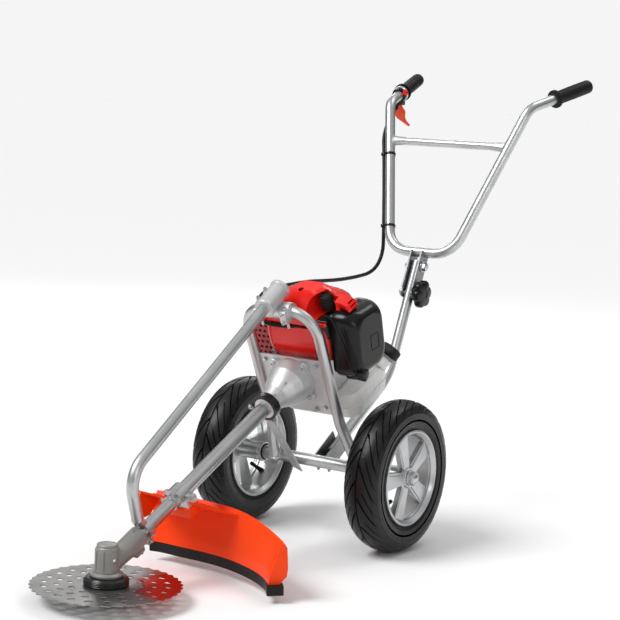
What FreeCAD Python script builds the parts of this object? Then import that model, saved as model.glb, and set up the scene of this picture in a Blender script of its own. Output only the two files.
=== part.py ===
"""Wheeled brush cutter: a two-wheeled barrow frame that carries a small engine and its cutter.

Two frames are used.  The ground frame has its origin on the floor under the axle: x to the
machine's left, y to its rear, z up.  The lean frame is the ground frame moved up to the axle and
turned back about it by LEAN; there y runs along the drive axis and z up the hoop.  The finished
shapes are moved by ORIGIN_SHIFT so that the part's origin lies under the middle of its outline.
"""

import FreeCAD, Part

import math
import os

V = FreeCAD.Vector
X_AXIS, Y_AXIS, Z_AXIS = V(1, 0, 0), V(0, 1, 0), V(0, 0, 1)
ORIGIN = V(0, 0, 0)

# ---------------------------------------------------------------- driving dimensions (mm, degrees)
ORIGIN_SHIFT = V(0, 44, 0)
RUNNING = 0.1           # radial clearance of a turning fit
SEAT = 0.3              # gap between pieces that bear on each other

# wheels and axle
WHEEL_R = 150.0
TYRE_W = 72.0
TRACK = 364.0
BEAD_R = 92.0
BEAD_W = 60.0
RIM_W = 69.0
RIM_WALL = 4.0
SPOKES = 5
SPOKE_W = 22.0          # at the hub
SPOKE_FLARE = 7.0       # wider at the barrel, each side
SPOKE_T = 11.0
SPOKE_FACE = 25.0       # outer face outboard of the wheel's middle
HUB_R = 19.0
HUB_IN = 48.0           # hub end inboard of the wheel's middle
HUB_OUT = 31.0          # hub end outboard of the wheel's middle
AXLE_R = 12.5
AXLE_GAP = 6.0          # from the thick part of the axle to the hub
AXLE_HALF = TRACK / 2 - HUB_IN - AXLE_GAP
STUB_R = 8.0
AXLE_NUT_R = 12.0
AXLE_NUT_T = 12.0

# hoop and engine plate
HOOP_R = 11.0
HOOP_WALL = 1.8
HOOP_Y = -9.0
HOOP_HALF = 82.0
HOOP_TOP = 363.0
HOOP_BEND = 54.0
FOOT_HALF = 103.0
FOOT_KNEE = 112.0
FOOT_BEND = 90.0
PLATE_T = 3.0
PLATE_LOW = 134.0
PLATE_TOP = 256.0

# drive line
CRANK_Z = 208.0         # drive axis above the axle, along the hoop
CLUTCH_BASE_R = 47.0
CLUTCH_NECK_R = 21.0
CLUTCH_LENGTH = 110.0
COLLAR_R = 27.0
COLLAR_W = 16.0
SLEEVE_R = 14.5
TUBE_R = 12.5
TUBE_WALL = 1.6
TUBE_LOW_Y = -528.0
SLEEVE_LOW_Y = -432.0
TUBE_END_Z = 100.554    # height of the tube's lower end over the ground
# slope of the drive axis and lean of the hoop, from the height that the head needs
LEAN = math.degrees(math.atan2(TUBE_LOW_Y, CRANK_Z)
                    + math.acos((TUBE_END_Z - WHEEL_R) / math.hypot(CRANK_Z, TUBE_LOW_Y)))

# brace tube and its clamps
BRACE_R = 11.0
BRACE_WALL = 1.6
BRACE_TILT = 8.0
BRACE_TOP_Y = 17.0
BRACE_TOP_Z = 397.0
BRACE_KNEE_Y = TUBE_LOW_Y + 22.0
BRACE_BEND = 55.0
BRACE_FOOT_Z = 236.0
BRACE_FOOT_Y = TUBE_LOW_Y + 8.0
CLAMP_WALL = 6.0
CLAMP_SLEEVE_R = 19.0
CLAMP_SLEEVE_L = 66.0

# cutter head and blade
GUARD_TILT = LEAN - 21.85       # slope of the guard
HEAD_REACH = 84.666             # spindle axis in front of the tube's end
HEAD_Y = (TUBE_LOW_Y * math.cos(math.radians(LEAN)) - CRANK_Z * math.sin(math.radians(LEAN)) - HEAD_REACH)
CUP_DEPTH = 29.0                # gliding cup under the blade
CUP_FLAT_R = 14.3
CUP_RIM_R = 34.0
SPINDLE_END = 8.0               # spindle's foot over the cup's bottom
BLADE_Z = CUP_DEPTH
BLADE_R = 133.0
BLADE_T = 1.6
BLADE_TEETH = 40
SLOT_RINGS = ((62, 12, 6, 4.5), (84, 17, 6.5, 4.5), (107, 22, 7, 4.5))      # radius, count, half length, half width
TOOTH_H = 5.0
SPINDLE_R = 6.0
CUP_R = 39.0
CUP_H = 15.0
HEAD_R = 21.0
HEAD_TALL = 71.0                # head's top over the blade's underside
HEAD_NECK_R = 19.0

# guard
GUARD_T = 4.0
GUARD_LOW = -13.0
GUARD_LEAN = 30.0       # how far the crest stands outside the lower edge
GUARD_ROOF = (176.0, 114.0, 286.0, 64.0)     # front edge (y, z) and back edge (y, z)
GUARD_ROOF_X = (-140.0, 100.0)
# the skirt's lower inner edge seen from above (x, y), the way it faces, and the crest's height over it
GUARD_STATIONS = [(-119.0, 262.0, -4.0, 91.0), (-60.0, 266.0, -2.0, 90.0), (0.0, 266.0, 4.0, 88.0),
                  (50.0, 262.0, 12.0, 87.0), (100.0, 250.0, 22.0, 83.0), (150.0, 230.0, 33.0, 75.0),
                  (190.0, 205.0, 43.0, 72.0), (209.0, 187.0, 49.0, 74.0)]
GUARD_CHEEK_X = -66.0
GUARD_CHEEK = [(150, 86), (174, 115), (200, 103), (230, 89.5), (196, 64), (160, 62)]    # (y, z)
FLAP_H = 20.0
FLAP_T = 6.0
GUARD_CLAMP_Y = -408.0

# rear post, channel brackets and handle
POST_R = 11.0
POST_WALL = 1.6
POST_FOOT = V(0, 44, WHEEL_R + 13)
POST_FOOT_SLOPE = 33.0
POST_BEND = 120.0
HANDLE_LEAN = 22.3
PIVOT = V(0, 344.6, WHEEL_R + 376)      # fold bolt, ground frame
PIVOT_R = 4.0
KNOB_DROP = 60.0                # knob bolt below the fold bolt
KNOB_R = 30.0
KNOB_LOBE_R = 9.0
KNOB_T = 18.0
CHANNEL_WALL = 3.0
CHANNEL_FRONT = 17.5
BAR_R = 11.0
BAR_WALL = 1.5
BAR_LOW = 32.0                  # lower bar above the fold bolt, along the handle
BAR_LOW_HALF = 77.0
BAR_TOP = 374.0
BAR_TOP_HALF = 174.0
BAR_LOW_BEND = 60.0
BAR_TOP_BEND = 42.0
BAR_END = V(BAR_TOP_HALF + 44, 156, BAR_TOP + 123.6)    # end of the left arm in the handle frame
CROSSBAR_R = 8.5
CROSSBAR_END = (12.0, 4.5)      # half height and half thickness of its pressed ends
CROSSBAR_TAPER = 45.0
CROSSBAR_Z = 283.6
GRIP_R = 15.0
GRIP_L = 118.0
GRIP_FLANGE_R = 20.0

# engine, lean frame
CRANKCASE_HALF = 58.0
CRANKCASE_LOW = 150.0
CRANKCASE_TOP = 268.0
CRANKCASE_BACK = 100.0
CYLINDER_TOP = 330.0
SHROUD_LOW = 243.0
SEAM_LOW = 312.0                # top of the shroud
SEAM_HIGH = 322.0               # foot of the top cover
COVER_TOP = 383.0
COVER_WALL = 3.0
# the cover's level sections: share of its height, middle (x, y), width, depth, corner radius
COVER_LEVELS = [(0.0, 14, 64, 164, 112, 24), (0.14, 15.5, 64, 161, 111, 25), (0.28, 18, 63.5, 155, 106, 26.5),
                (0.42, 21.5, 62, 145, 97, 28.5), (0.56, 26, 60, 131, 83, 29.5), (0.70, 31, 57.5, 115, 66, 28.5),
                (0.83, 34.5, 56.3, 94, 51, 24), (0.93, 36.3, 56, 74, 42, 20), (1.0, 37, 56, 58, 34, 16)]
WING_Y = (40.0, 70.0)           # front and back of the louvred wing
WING_RECESS = 6.0
WING = [(70, 0), (108, 0), (124, 10), (131, 23), (126, 34), (112, 40), (70, 44)]      # (x, height over the seam)
BOOT_X, BOOT_Z = 76.0, 355.0
BOOT_HALF = (12.0, 17.0)
BOOT_FRONT = 42.0
BOOT_NECK_R = 7.0
BOOT_FOOT_R = 8.0
POCKET_R = (30.0, 23.0)         # mouth and floor of the plug's recess
POCKET_Y = (2.0, 60.0)
CARBURETTOR = (64.0, 88.0, 16.0, 62.0, 290.0, 331.0)
FILTER_X = 96.0
FILTER_OUT = 148.0
FILTER_Y, FILTER_Z = 66.0, 270.0
FILTER_TURN = 11.0
FILTER_TALL = 134.0
STARTER_R = 57.5
TANK_TOP = CRANKCASE_LOW - SEAT
CAP_FOOT = V(88, 148, 149)
CAP_ALONG = V(0.42, 0.74, 0.53).normalize()
CAP_R = 22.0
CABLE_R = 4.0
TIE_T = 1.6
TIE_GAP = 0.8
TIE_HEIGHTS = (84, 250)         # up the handle


# ---------------------------------------------------------------- helpers
def turned(shape, angle, centre=ORIGIN, axis=X_AXIS):
    """A copy of the shape turned about an axis."""
    out = shape.copy()
    out.rotate(centre, axis, angle)
    return out


def moved(shape, offset):
    """A copy of the shape moved by a vector."""
    out = shape.copy()
    out.translate(offset)
    return out


def leaned(shape):
    """From the lean frame to the ground frame."""
    return moved(turned(shape, LEAN), V(0, 0, WHEEL_R))


def lean_point(p):
    """A point of the lean frame in the ground frame."""
    c, s = math.cos(math.radians(LEAN)), math.sin(math.radians(LEAN))
    return V(p.x, p.y * c - p.z * s, WHEEL_R + p.y * s + p.z * c)


def handled(shape):
    """From the handle frame (origin at the fold bolt, z up the handle) to the ground frame."""
    return moved(turned(shape, -HANDLE_LEAN), PIVOT)


def handle_point(p):
    """A point of the handle frame in the ground frame."""
    c, s = math.cos(math.radians(HANDLE_LEAN)), math.sin(math.radians(HANDLE_LEAN))
    return PIVOT + V(p.x, p.y * c + p.z * s, -p.y * s + p.z * c)


def box(x0, x1, y0, y1, z0, z1):
    """A box between two corners."""
    return Part.makeBox(x1 - x0, y1 - y0, z1 - z0, V(x0, y0, z0))


def rod(radius, start, end):
    """A round bar between two points."""
    return Part.makeCylinder(radius, (end - start).Length, start, end - start)


def fused(shapes):
    """One solid out of several that overlap or touch."""
    first, *rest = shapes
    return first.fuse(rest).removeSplitter() if rest else first


def rounded_box(x0, x1, y0, y1, z0, z1, radius, along=None):
    """A box with its edges rounded: all of them, or those along one axis."""
    solid = box(x0, x1, y0, y1, z0, z1)
    edges = solid.Edges
    if along is not None:
        edges = [e for e in edges if abs(e.tangentAt(e.FirstParameter).dot(along)) > 0.99]
    return solid.makeFillet(radius, edges)


def bent_path(points, radii):
    """A wire of straight runs joined by tangent arcs; one radius for each inner point."""
    if not isinstance(radii, (list, tuple)):
        radii = [radii] * (len(points) - 2)
    edges, at = [], points[0]
    for before, corner, after, radius in zip(points, points[1:], points[2:], radii):
        into, out = (corner - before).normalize(), (after - corner).normalize()
        turn = into.getAngle(out)
        back = radius * math.tan(turn / 2)
        start, end = corner - into * back, corner + out * back
        middle = corner + (out - into).normalize() * radius * (1 / math.cos(turn / 2) - 1)
        edges += [Part.LineSegment(at, start).toShape(), Part.Arc(start, middle, end).toShape()]
        at = end
    edges.append(Part.LineSegment(at, points[-1]).toShape())
    return Part.Wire(edges)


def pipe(path, radius):
    """A round solid along a path."""
    first = path.OrderedEdges[0]
    start, along = first.valueAt(first.FirstParameter), first.tangentAt(first.FirstParameter)
    ring = Part.Wire([Part.Circle(start, along, radius).toShape()])
    return path.makePipeShell([ring], True, False)


def tube(points, bend, radius, wall):
    """A bent tube, open at both ends."""
    path = bent_path(points, bend)
    return pipe(path, radius).cut(pipe(path, radius - wall))


def revolved(profile, axis, centre=ORIGIN, angle=360):
    """A solid turned from a closed outline of points."""
    face = Part.Face(Part.makePolygon(profile + profile[:1]))
    return face.revolve(centre, axis, angle)


def prism(outline, depth):
    """A solid pushed from a closed outline of points along a vector."""
    return Part.Face(Part.makePolygon(outline + outline[:1])).extrude(depth)


def rounded_section(cx, cy, wide, deep, radius, z):
    """A rectangle with round corners in a level plane, for a loft."""
    x, y = wide / 2, deep / 2
    corners = [(x, -y), (x, y), (-x, y), (-x, -y)]
    edges = []
    for (ax, ay), (bx, by), (px, py) in zip(corners, corners[1:] + corners[:1], corners[-1:] + corners[:-1]):
        into = V(ax - px, ay - py, 0).normalize()
        out = V(bx - ax, by - ay, 0).normalize()
        corner = V(cx + ax, cy + ay, z)
        start, end = corner - into * radius, corner + out * radius
        middle = corner + (out - into).normalize() * radius * (math.sqrt(2) - 1)
        leave = V(cx + bx, cy + by, z) - out * radius
        edges += [Part.Arc(start, middle, end).toShape(), Part.LineSegment(end, leave).toShape()]
    return Part.Wire(edges)


def lofted(sections, straight=False):
    """A solid through level rounded sections, each (cx, cy, wide, deep, radius, z)."""
    return Part.makeLoft([rounded_section(*s) for s in sections], True, straight)


# ---------------------------------------------------------------- wheels
def tyre(side):
    """A balloon tyre, solid between its beads and its crown."""
    half = BEAD_W / 2
    belly, shoulder = TYRE_W / 2, TYRE_W / 2 - 5
    crown = Part.Arc(V(shoulder, 0, WHEEL_R - 9), V(0, 0, WHEEL_R), V(-shoulder, 0, WHEEL_R - 9)).toShape()
    walls = [
        Part.Arc(V(s * half, 0, BEAD_R + 2), V(s * belly, 0, 0.55 * BEAD_R + 0.45 * WHEEL_R),
                 V(s * shoulder, 0, WHEEL_R - 9)).toShape()
        for s in (1, -1)
    ]
    seat = BEAD_R - RIM_WALL
    edges = [
        Part.LineSegment(V(half, 0, seat), V(half, 0, BEAD_R + 2)).toShape(), walls[0], crown, walls[1],
        Part.LineSegment(V(-half, 0, BEAD_R + 2), V(-half, 0, seat)).toShape(),
        Part.LineSegment(V(-half, 0, seat), V(half, 0, seat)).toShape(),
    ]
    solid = Part.Face(Part.Wire(Part.__sortEdges__(edges))).revolve(ORIGIN, X_AXIS, 360)
    return moved(solid, V(side * TRACK / 2, 0, WHEEL_R))


def rim(side):
    """A cast wheel: barrel with two lips, five spokes and a long hub, outboard towards +x."""
    half, seat, lip = RIM_W / 2, BEAD_R - RIM_WALL, BEAD_R
    in_bead = BEAD_W / 2
    outline = [
        V(-half, 0, lip + 2), V(-in_bead - SEAT, 0, lip + 2), V(-in_bead, 0, seat), V(in_bead, 0, seat),
        V(in_bead + SEAT, 0, lip + 2), V(half, 0, lip + 2), V(half, 0, lip - 3), V(half - 6, 0, seat - RIM_WALL),
        V(-half + 6, 0, seat - RIM_WALL), V(-half, 0, lip - 3),
    ]
    barrel = revolved(outline, X_AXIS)
    hub = rod(HUB_R, V(-HUB_IN, 0, 0), V(HUB_OUT, 0, 0))
    spokes = []
    for k in range(SPOKES):
        reach = seat - RIM_WALL + 1
        back = SPOKE_FACE - SPOKE_T
        outline = [V(back, -SPOKE_W / 2, 0), V(back, -SPOKE_W / 2 - SPOKE_FLARE, reach),
                   V(back, SPOKE_W / 2 + SPOKE_FLARE, reach), V(back, SPOKE_W / 2, 0)]
        spokes.append(turned(prism(outline, V(SPOKE_T, 0, 0)), 90 + 360 * k / SPOKES))
    solid = fused([barrel, hub] + spokes)
    solid = solid.cut(rod(STUB_R + RUNNING, V(-HUB_IN - 1, 0, 0), V(HUB_OUT + 1, 0, 0)))
    if side < 0:
        solid = turned(solid, 180, ORIGIN, Z_AXIS)
    return moved(solid, V(side * TRACK / 2, 0, WHEEL_R))


def axle():
    """The axle tube with a thinner stub and a nut at each end, on the lean frame's origin."""
    half = TRACK / 2
    solids = [rod(AXLE_R, V(-AXLE_HALF, 0, 0), V(AXLE_HALF, 0, 0))]
    end = half + HUB_OUT + SEAT
    solids.append(rod(STUB_R, V(-end - 1, 0, 0), V(end + 1, 0, 0)))
    for side in (-1, 1):
        solids.append(rod(AXLE_NUT_R, V(side * end, 0, 0), V(side * (end + AXLE_NUT_T), 0, 0)))
        collar = half - HUB_IN - SEAT
        solids.append(rod(AXLE_R + 1.5, V(side * (collar - 5), 0, 0), V(side * collar, 0, 0)))
    return leaned(fused(solids))


# ---------------------------------------------------------------- frame
def hoop_path():
    """The hoop's middle line in the lean frame."""
    points = [V(-FOOT_HALF, HOOP_Y, 0), V(-HOOP_HALF, HOOP_Y, FOOT_KNEE), V(-HOOP_HALF, HOOP_Y, HOOP_TOP),
              V(HOOP_HALF, HOOP_Y, HOOP_TOP), V(HOOP_HALF, HOOP_Y, FOOT_KNEE), V(FOOT_HALF, HOOP_Y, 0)]
    return bent_path(points, [FOOT_BEND, HOOP_BEND, HOOP_BEND, FOOT_BEND])


def hoop_frame():
    """The bent tube that stands on the axle and carries the engine plate."""
    path = hoop_path()
    solid = pipe(path, HOOP_R).cut(pipe(path, HOOP_R - HOOP_WALL))
    return leaned(solid.cut(rod(AXLE_R, V(-AXLE_HALF, 0, 0), V(AXLE_HALF, 0, 0))))


def engine_plate():
    """The sheet between the hoop's legs, welded along both, with a hole for the clutch drum."""
    y = HOOP_Y - PLATE_T / 2
    solid = box(-HOOP_HALF, HOOP_HALF, y, y + PLATE_T, PLATE_LOW, PLATE_TOP)
    for side in (-1, 1):
        leg = rod(HOOP_R, V(side * HOOP_HALF, HOOP_Y, 0), V(side * HOOP_HALF, HOOP_Y, HOOP_TOP))
        solid = solid.cut(leg)
    bore = rod(CLUTCH_BASE_R - 8, V(0, y - 1, CRANK_Z), V(0, y + PLATE_T + 1, CRANK_Z))
    return leaned(solid.cut(bore))


def axle_strap():
    """The flat strap that ties the clutch collar down to the axle."""
    top_y = HOOP_Y - PLATE_T / 2 - CLUTCH_LENGTH
    top = V(0, top_y + COLLAR_W / 2, CRANK_Z - COLLAR_R)
    foot = V(-48, -AXLE_R, -AXLE_R - 4)
    along = (foot - top).normalize()
    across = along.cross(V(0, -1, 0.4)).normalize() * 12
    thick = across.cross(along).normalize() * 3
    outline = [top + across, foot + across, foot - across, top - across]
    solid = prism(outline, thick)
    solid = solid.cut(rod(AXLE_R, V(-AXLE_HALF, 0, 0), V(AXLE_HALF, 0, 0)))
    return leaned(solid.cut(rod(COLLAR_R, V(0, -400, CRANK_Z), V(0, 0, CRANK_Z))))


def post_line():
    """Foot, corner and top of the rear post's middle line in the ground frame."""
    slope = math.radians(POST_FOOT_SLOPE)
    rise = math.radians(90 - HANDLE_LEAN)
    span = PIVOT - POST_FOOT
    determinant = math.cos(slope) * math.sin(rise) - math.sin(slope) * math.cos(rise)
    reach = (span.y * math.sin(rise) - span.z * math.cos(rise)) / determinant
    corner = POST_FOOT + V(0, math.cos(slope), math.sin(slope)) * reach
    return POST_FOOT, corner, PIVOT + V(0, math.cos(rise), math.sin(rise)) * POST_R


def rear_post():
    """The bent tube from the axle up to the handle's channel, rounded about the fold bolt."""
    foot, corner, top = post_line()
    path = bent_path([foot, corner, top], POST_BEND)
    solid = pipe(path, POST_R)
    keep = handled(fused([box(-50, 50, -600, 600, -900, 0), rod(POST_R, V(-50, 0, 0), V(50, 0, 0))]))
    solid = solid.common(keep)
    hollow = pipe(path, POST_R - POST_WALL).common(handled(box(-50, 50, -600, 600, -900, -POST_R - 2)))
    solid = solid.cut(hollow)
    for drop, radius in ((0, PIVOT_R + RUNNING), (KNOB_DROP, PIVOT_R)):
        solid = solid.cut(handled(rod(radius, V(-50, 0, -drop), V(50, 0, -drop))))
    return solid.cut(leaned(rod(AXLE_R, V(-AXLE_HALF, 0, 0), V(AXLE_HALF, 0, 0))))


def post_bracket():
    """The channel that holds the post's foot on the axle, open to the front."""
    slope = POST_FOOT_SLOPE
    inner, outer = POST_R + SEAT, POST_R + SEAT + CHANNEL_WALL
    flanges = [box(s * inner if s > 0 else -outer, outer if s > 0 else -inner, -18, 62, -POST_R - 4, 21)
               for s in (-1, 1)]
    web = box(-outer, outer, 10, 62, -POST_R - SEAT - CHANNEL_WALL, -POST_R - SEAT)
    solid = turned(fused(flanges + [web]), slope)
    solid = moved(solid, POST_FOOT - V(0, math.cos(math.radians(slope)), math.sin(math.radians(slope))) * 24)
    return solid.cut(leaned(rod(AXLE_R, V(-AXLE_HALF, 0, 0), V(AXLE_HALF, 0, 0))))


# ---------------------------------------------------------------- brace
def brace_points():
    """End, knee and foot of the brace tube in the lean frame."""
    fall = math.tan(math.radians(BRACE_TILT))
    knee_z = BRACE_TOP_Z - (BRACE_TOP_Y - BRACE_KNEE_Y) * fall
    return [V(0, BRACE_TOP_Y, BRACE_TOP_Z), V(0, BRACE_KNEE_Y, knee_z), V(0, BRACE_FOOT_Y, BRACE_FOOT_Z)]


def brace_at(y):
    """The brace's middle at a place along the drive axis, above its knee."""
    return V(0, y, BRACE_TOP_Z - (BRACE_TOP_Y - y) * math.tan(math.radians(BRACE_TILT)))


def brace_tube():
    """The tube from the hoop's top to the front of the drive tube, its foot pressed to a tongue."""
    points = brace_points()
    tongue_low = CRANK_Z + TUBE_R + CLAMP_WALL
    tongue = rounded_box(-BRACE_R, BRACE_R, BRACE_FOOT_Y - 3, BRACE_FOOT_Y + 3, tongue_low, BRACE_FOOT_Z + 3, 2.5, Y_AXIS)
    return leaned(fused([tube(points, BRACE_BEND, BRACE_R, BRACE_WALL), tongue]))


def front_collar():
    """The split collar near the head that takes the brace's foot."""
    y = BRACE_FOOT_Y + 3
    ring = rod(TUBE_R + CLAMP_WALL, V(0, y, CRANK_Z), V(0, y + 14, CRANK_Z))
    ear = rounded_box(-10, 10, y, y + 6, CRANK_Z, CRANK_Z + TUBE_R + CLAMP_WALL + 8, 3, Y_AXIS)
    lug = box(-6, 6, y, y + 14, CRANK_Z - TUBE_R - 16, CRANK_Z)
    solid = fused([ring, ear, lug]).cut(rod(TUBE_R, V(0, y - 20, CRANK_Z), V(0, y + 40, CRANK_Z)))
    return leaned(solid.cut(box(-1, 1, y - 1, y + 15, CRANK_Z - 60, CRANK_Z)))


def brace_clamp():
    """The cast clamp that joins the brace to the hoop: two crossed sleeves with bolted lugs."""
    along = brace_at(0) - brace_at(-10)
    along.normalize()
    end = brace_at(BRACE_TOP_Y)
    upper = rod(CLAMP_SLEEVE_R, end - along * CLAMP_SLEEVE_L, end)
    lower = rod(HOOP_R + CLAMP_WALL, V(-34, HOOP_Y, HOOP_TOP), V(34, HOOP_Y, HOOP_TOP))
    lugs = [rounded_box(s * 30 - 7, s * 30 + 7, HOOP_Y - 28, HOOP_Y, HOOP_TOP - 13, HOOP_TOP + 13, 4, X_AXIS)
            for s in (-1, 1)]
    solid = fused([upper, lower] + lugs)
    solid = solid.cut(rod(BRACE_R, end - along * (CLAMP_SLEEVE_L + 1), end + along))
    return leaned(solid.cut(pipe(hoop_path(), HOOP_R)))


# ---------------------------------------------------------------- drive line
def clutch_housing():
    """The cast cone from the engine plate to the drive tube, with its clamping neck."""
    back = HOOP_Y - PLATE_T / 2
    front = back - CLUTCH_LENGTH
    outline = [(TUBE_R, front), (CLUTCH_NECK_R, front), (CLUTCH_NECK_R, front + 24), (26, front + 42),
               (36, front + 62), (43, front + 80), (CLUTCH_BASE_R, back - 8), (CLUTCH_BASE_R, back),
               (CLUTCH_BASE_R - 9, back), (CLUTCH_BASE_R - 9, back - 10), (30, front + 56), (SLEEVE_R, front + 40),
               (SLEEVE_R, front + 4), (TUBE_R, front + 4)]
    shell = revolved([V(r, y, CRANK_Z) for r, y in outline], Y_AXIS, V(0, 0, CRANK_Z))
    ribs = [turned(box(-2.5, 2.5, front + 24, back - 2, CRANK_Z + 18, CRANK_Z + 34), a, V(0, 0, CRANK_Z), Y_AXIS)
            for a in (40, 220)]
    envelope = revolved([V(r, y, CRANK_Z) for r, y in [(0, front + 20), (24, front + 20), (50, back - 10),
                                                       (50, back), (0, back)]], Y_AXIS, V(0, 0, CRANK_Z))
    solid = fused([shell] + [r.common(envelope) for r in ribs])
    inner = rod(SLEEVE_R, V(0, front - 1, CRANK_Z), V(0, front + 40, CRANK_Z))
    return leaned(solid.cut(inner))


def clutch_collar():
    """The dark clamping collar with its bolts on the housing's neck."""
    front = HOOP_Y - PLATE_T / 2 - CLUTCH_LENGTH
    ring = rod(COLLAR_R, V(0, front, CRANK_Z), V(0, front + COLLAR_W, CRANK_Z))
    lug = rounded_box(-COLLAR_R - 9, 0, front, front + COLLAR_W, CRANK_Z - 9, CRANK_Z + 9, 4, Y_AXIS)
    return leaned(fused([ring, lug]).cut(rod(CLUTCH_NECK_R, V(0, front - 1, CRANK_Z), V(0, front + 90, CRANK_Z))))


def drive_tube():
    """The straight tube to the head, with the thicker sleeve over its upper part."""
    top = HOOP_Y - PLATE_T / 2 - CLUTCH_LENGTH + 36
    lower = rod(TUBE_R, V(0, TUBE_LOW_Y, CRANK_Z), V(0, top, CRANK_Z))
    sleeve = rod(SLEEVE_R, V(0, SLEEVE_LOW_Y, CRANK_Z), V(0, top, CRANK_Z))
    bore = rod(TUBE_R - TUBE_WALL, V(0, TUBE_LOW_Y - 1, CRANK_Z), V(0, top + 1, CRANK_Z))
    return leaned(fused([lower, sleeve]).cut(bore))


def headed(shape):
    """From the cutter's frame (origin on the spindle axis at the blade's underside) to the ground frame."""
    return moved(shape, V(0, HEAD_Y, BLADE_Z))


def gear_head():
    """The cast angle gear: an upright body, a sleeve on the drive tube and a skirt over the cup."""
    low = BLADE_T + CUP_H + SEAT
    body = revolved([V(0, 0, low), V(27, 0, low), V(27, 0, low + 5), V(HEAD_R, 0, low + 9), V(HEAD_R - 1, 0, HEAD_TALL - 4),
                     V(HEAD_R - 5, 0, HEAD_TALL), V(0, 0, HEAD_TALL)], Z_AXIS)
    end = lean_point(V(0, TUBE_LOW_Y, CRANK_Z))
    back = lean_point(V(0, TUBE_LOW_Y - 40, CRANK_Z))
    over = lean_point(V(0, TUBE_LOW_Y - 92, CRANK_Z))
    neck = rod(HEAD_NECK_R, back, end)
    throat = Part.makeCone(15, HEAD_NECK_R, (back - over).Length, over, back - over)
    lug = leaned(rounded_box(-9, 9, TUBE_LOW_Y - 30, TUBE_LOW_Y - 4, CRANK_Z - HEAD_NECK_R - 8, CRANK_Z, 4, X_AXIS))
    bore = rod(SPINDLE_R + RUNNING, V(0, 0, low - 1), V(0, 0, HEAD_TALL - 12))
    relief = rod(CUP_R + 2, ORIGIN, V(0, 0, low))
    return fused([headed(body), neck, throat, lug]).cut([headed(bore), headed(relief)])


# ---------------------------------------------------------------- cutter
def blade():
    """A saw disc with sickle-shaped teeth and two rings of oval slots."""
    step = 360 / BLADE_TEETH
    root = BLADE_R - TOOTH_H
    outline = []
    for k in range(BLADE_TEETH):
        for radius, at in ((root, 0.0), (BLADE_R, 0.62), (BLADE_R - 1.2, 0.86)):
            turn = math.radians((k + at) * step)
            outline.append(V(radius * math.cos(turn), radius * math.sin(turn), 0))
    disc = prism(outline, V(0, 0, BLADE_T))
    cutters = [rod(SPINDLE_R, V(0, 0, -1), V(0, 0, BLADE_T + 1))]
    for ring_r, count, half, width in SLOT_RINGS:
        phase = SLOT_RINGS.index((ring_r, count, half, width)) / 2
        for k in range(count):
            slot = rounded_box(ring_r - width, ring_r + width, -half, half, -1, BLADE_T + 1, width - 0.6, Z_AXIS)
            slot = turned(slot, 35, V(ring_r, 0, 0), Z_AXIS)
            cutters.append(turned(slot, 360 * (k + phase) / count, ORIGIN, Z_AXIS))
    return headed(disc.cut(cutters))


def blade_flange():
    """The black cup between the head and the blade."""
    low, high = BLADE_T, BLADE_T + CUP_H
    outline = [V(SPINDLE_R, 0, low), V(CUP_R - 3, 0, low), V(CUP_R, 0, low + 3), V(CUP_R, 0, high - 4),
               V(CUP_R - 4, 0, high), V(SPINDLE_R, 0, high)]
    return headed(revolved(outline, Z_AXIS))


def blade_cup():
    """The pressed cup under the blade that glides on the ground."""
    low, edge = -CUP_DEPTH, CUP_RIM_R
    belly = Part.Arc(V(edge, 0, -4), V(0.78 * edge, 0, 0.66 * low), V(CUP_FLAT_R, 0, low)).toShape()
    line = [Part.LineSegment(V(0, 0, 0), V(edge, 0, 0)).toShape(),
            Part.LineSegment(V(edge, 0, 0), V(edge, 0, -4)).toShape(), belly,
            Part.LineSegment(V(CUP_FLAT_R, 0, low), V(0, 0, low)).toShape(),
            Part.LineSegment(V(0, 0, low), V(0, 0, 0)).toShape()]
    solid = Part.Face(Part.Wire(line)).revolve(ORIGIN, Z_AXIS, 360)
    return headed(solid.cut(rod(SPINDLE_R, V(0, 0, low + SPINDLE_END), V(0, 0, 1))))


def spindle():
    """The shaft that carries the blade between its cups."""
    return headed(rod(SPINDLE_R, V(0, 0, SPINDLE_END - CUP_DEPTH), V(0, 0, HEAD_TALL - 14)))


# ---------------------------------------------------------------- guard
def guarded(shape):
    """From the guard frame (origin at the blade's middle) to the ground frame."""
    return moved(turned(shape, GUARD_TILT), V(0, HEAD_Y, BLADE_Z))


def guard_section(station, outline):
    """A section across the guard: points (outwards, up) from the skirt's lower inner edge."""
    x, y, turn = station
    out = V(math.sin(math.radians(turn)), math.cos(math.radians(turn)), 0)
    return Part.makePolygon([V(x, y, GUARD_LOW) + out * o + Z_AXIS * h for o, h in outline + outline[:1]])


def guard_wall():
    """The skirt behind the blade: it leans outwards and its crest falls towards the left end."""
    sections = []
    for x, y, turn, crest in GUARD_STATIONS:
        outline = [(0, 0), (20, 0), (GUARD_LEAN + 3, 14), (GUARD_LEAN + 5, 30), (GUARD_LEAN + 4, crest - 8),
                   (GUARD_LEAN - 1, crest), (GUARD_LEAN - 8, crest - 10), (4, 16)]
        sections.append(guard_section((x, y, turn), outline))
    return Part.makeLoft(sections, True, False)


def guard_roof():
    """The sloping plate from the skirt's crest up to the clamp."""
    y0, z0, y1, z1 = GUARD_ROOF
    outline = [V(GUARD_ROOF_X[0], y0, z0), V(GUARD_ROOF_X[0], y1, z1), V(GUARD_ROOF_X[0], y1, z1 - GUARD_T),
               V(GUARD_ROOF_X[0], y0, z0 - GUARD_T)]
    slab = prism(outline, V(GUARD_ROOF_X[1] - GUARD_ROOF_X[0], 0, 0))
    plan = prism([V(-66, y0 - 1, 0), V(30, y0 + 16, 0), V(78, y1 - 6, 0), V(60, y1 + 9, 0), V(-96, y1 + 9, 0),
                  V(-122, y1 - 10, 0)], V(0, 0, 200))
    return slab.common(plan)


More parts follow.
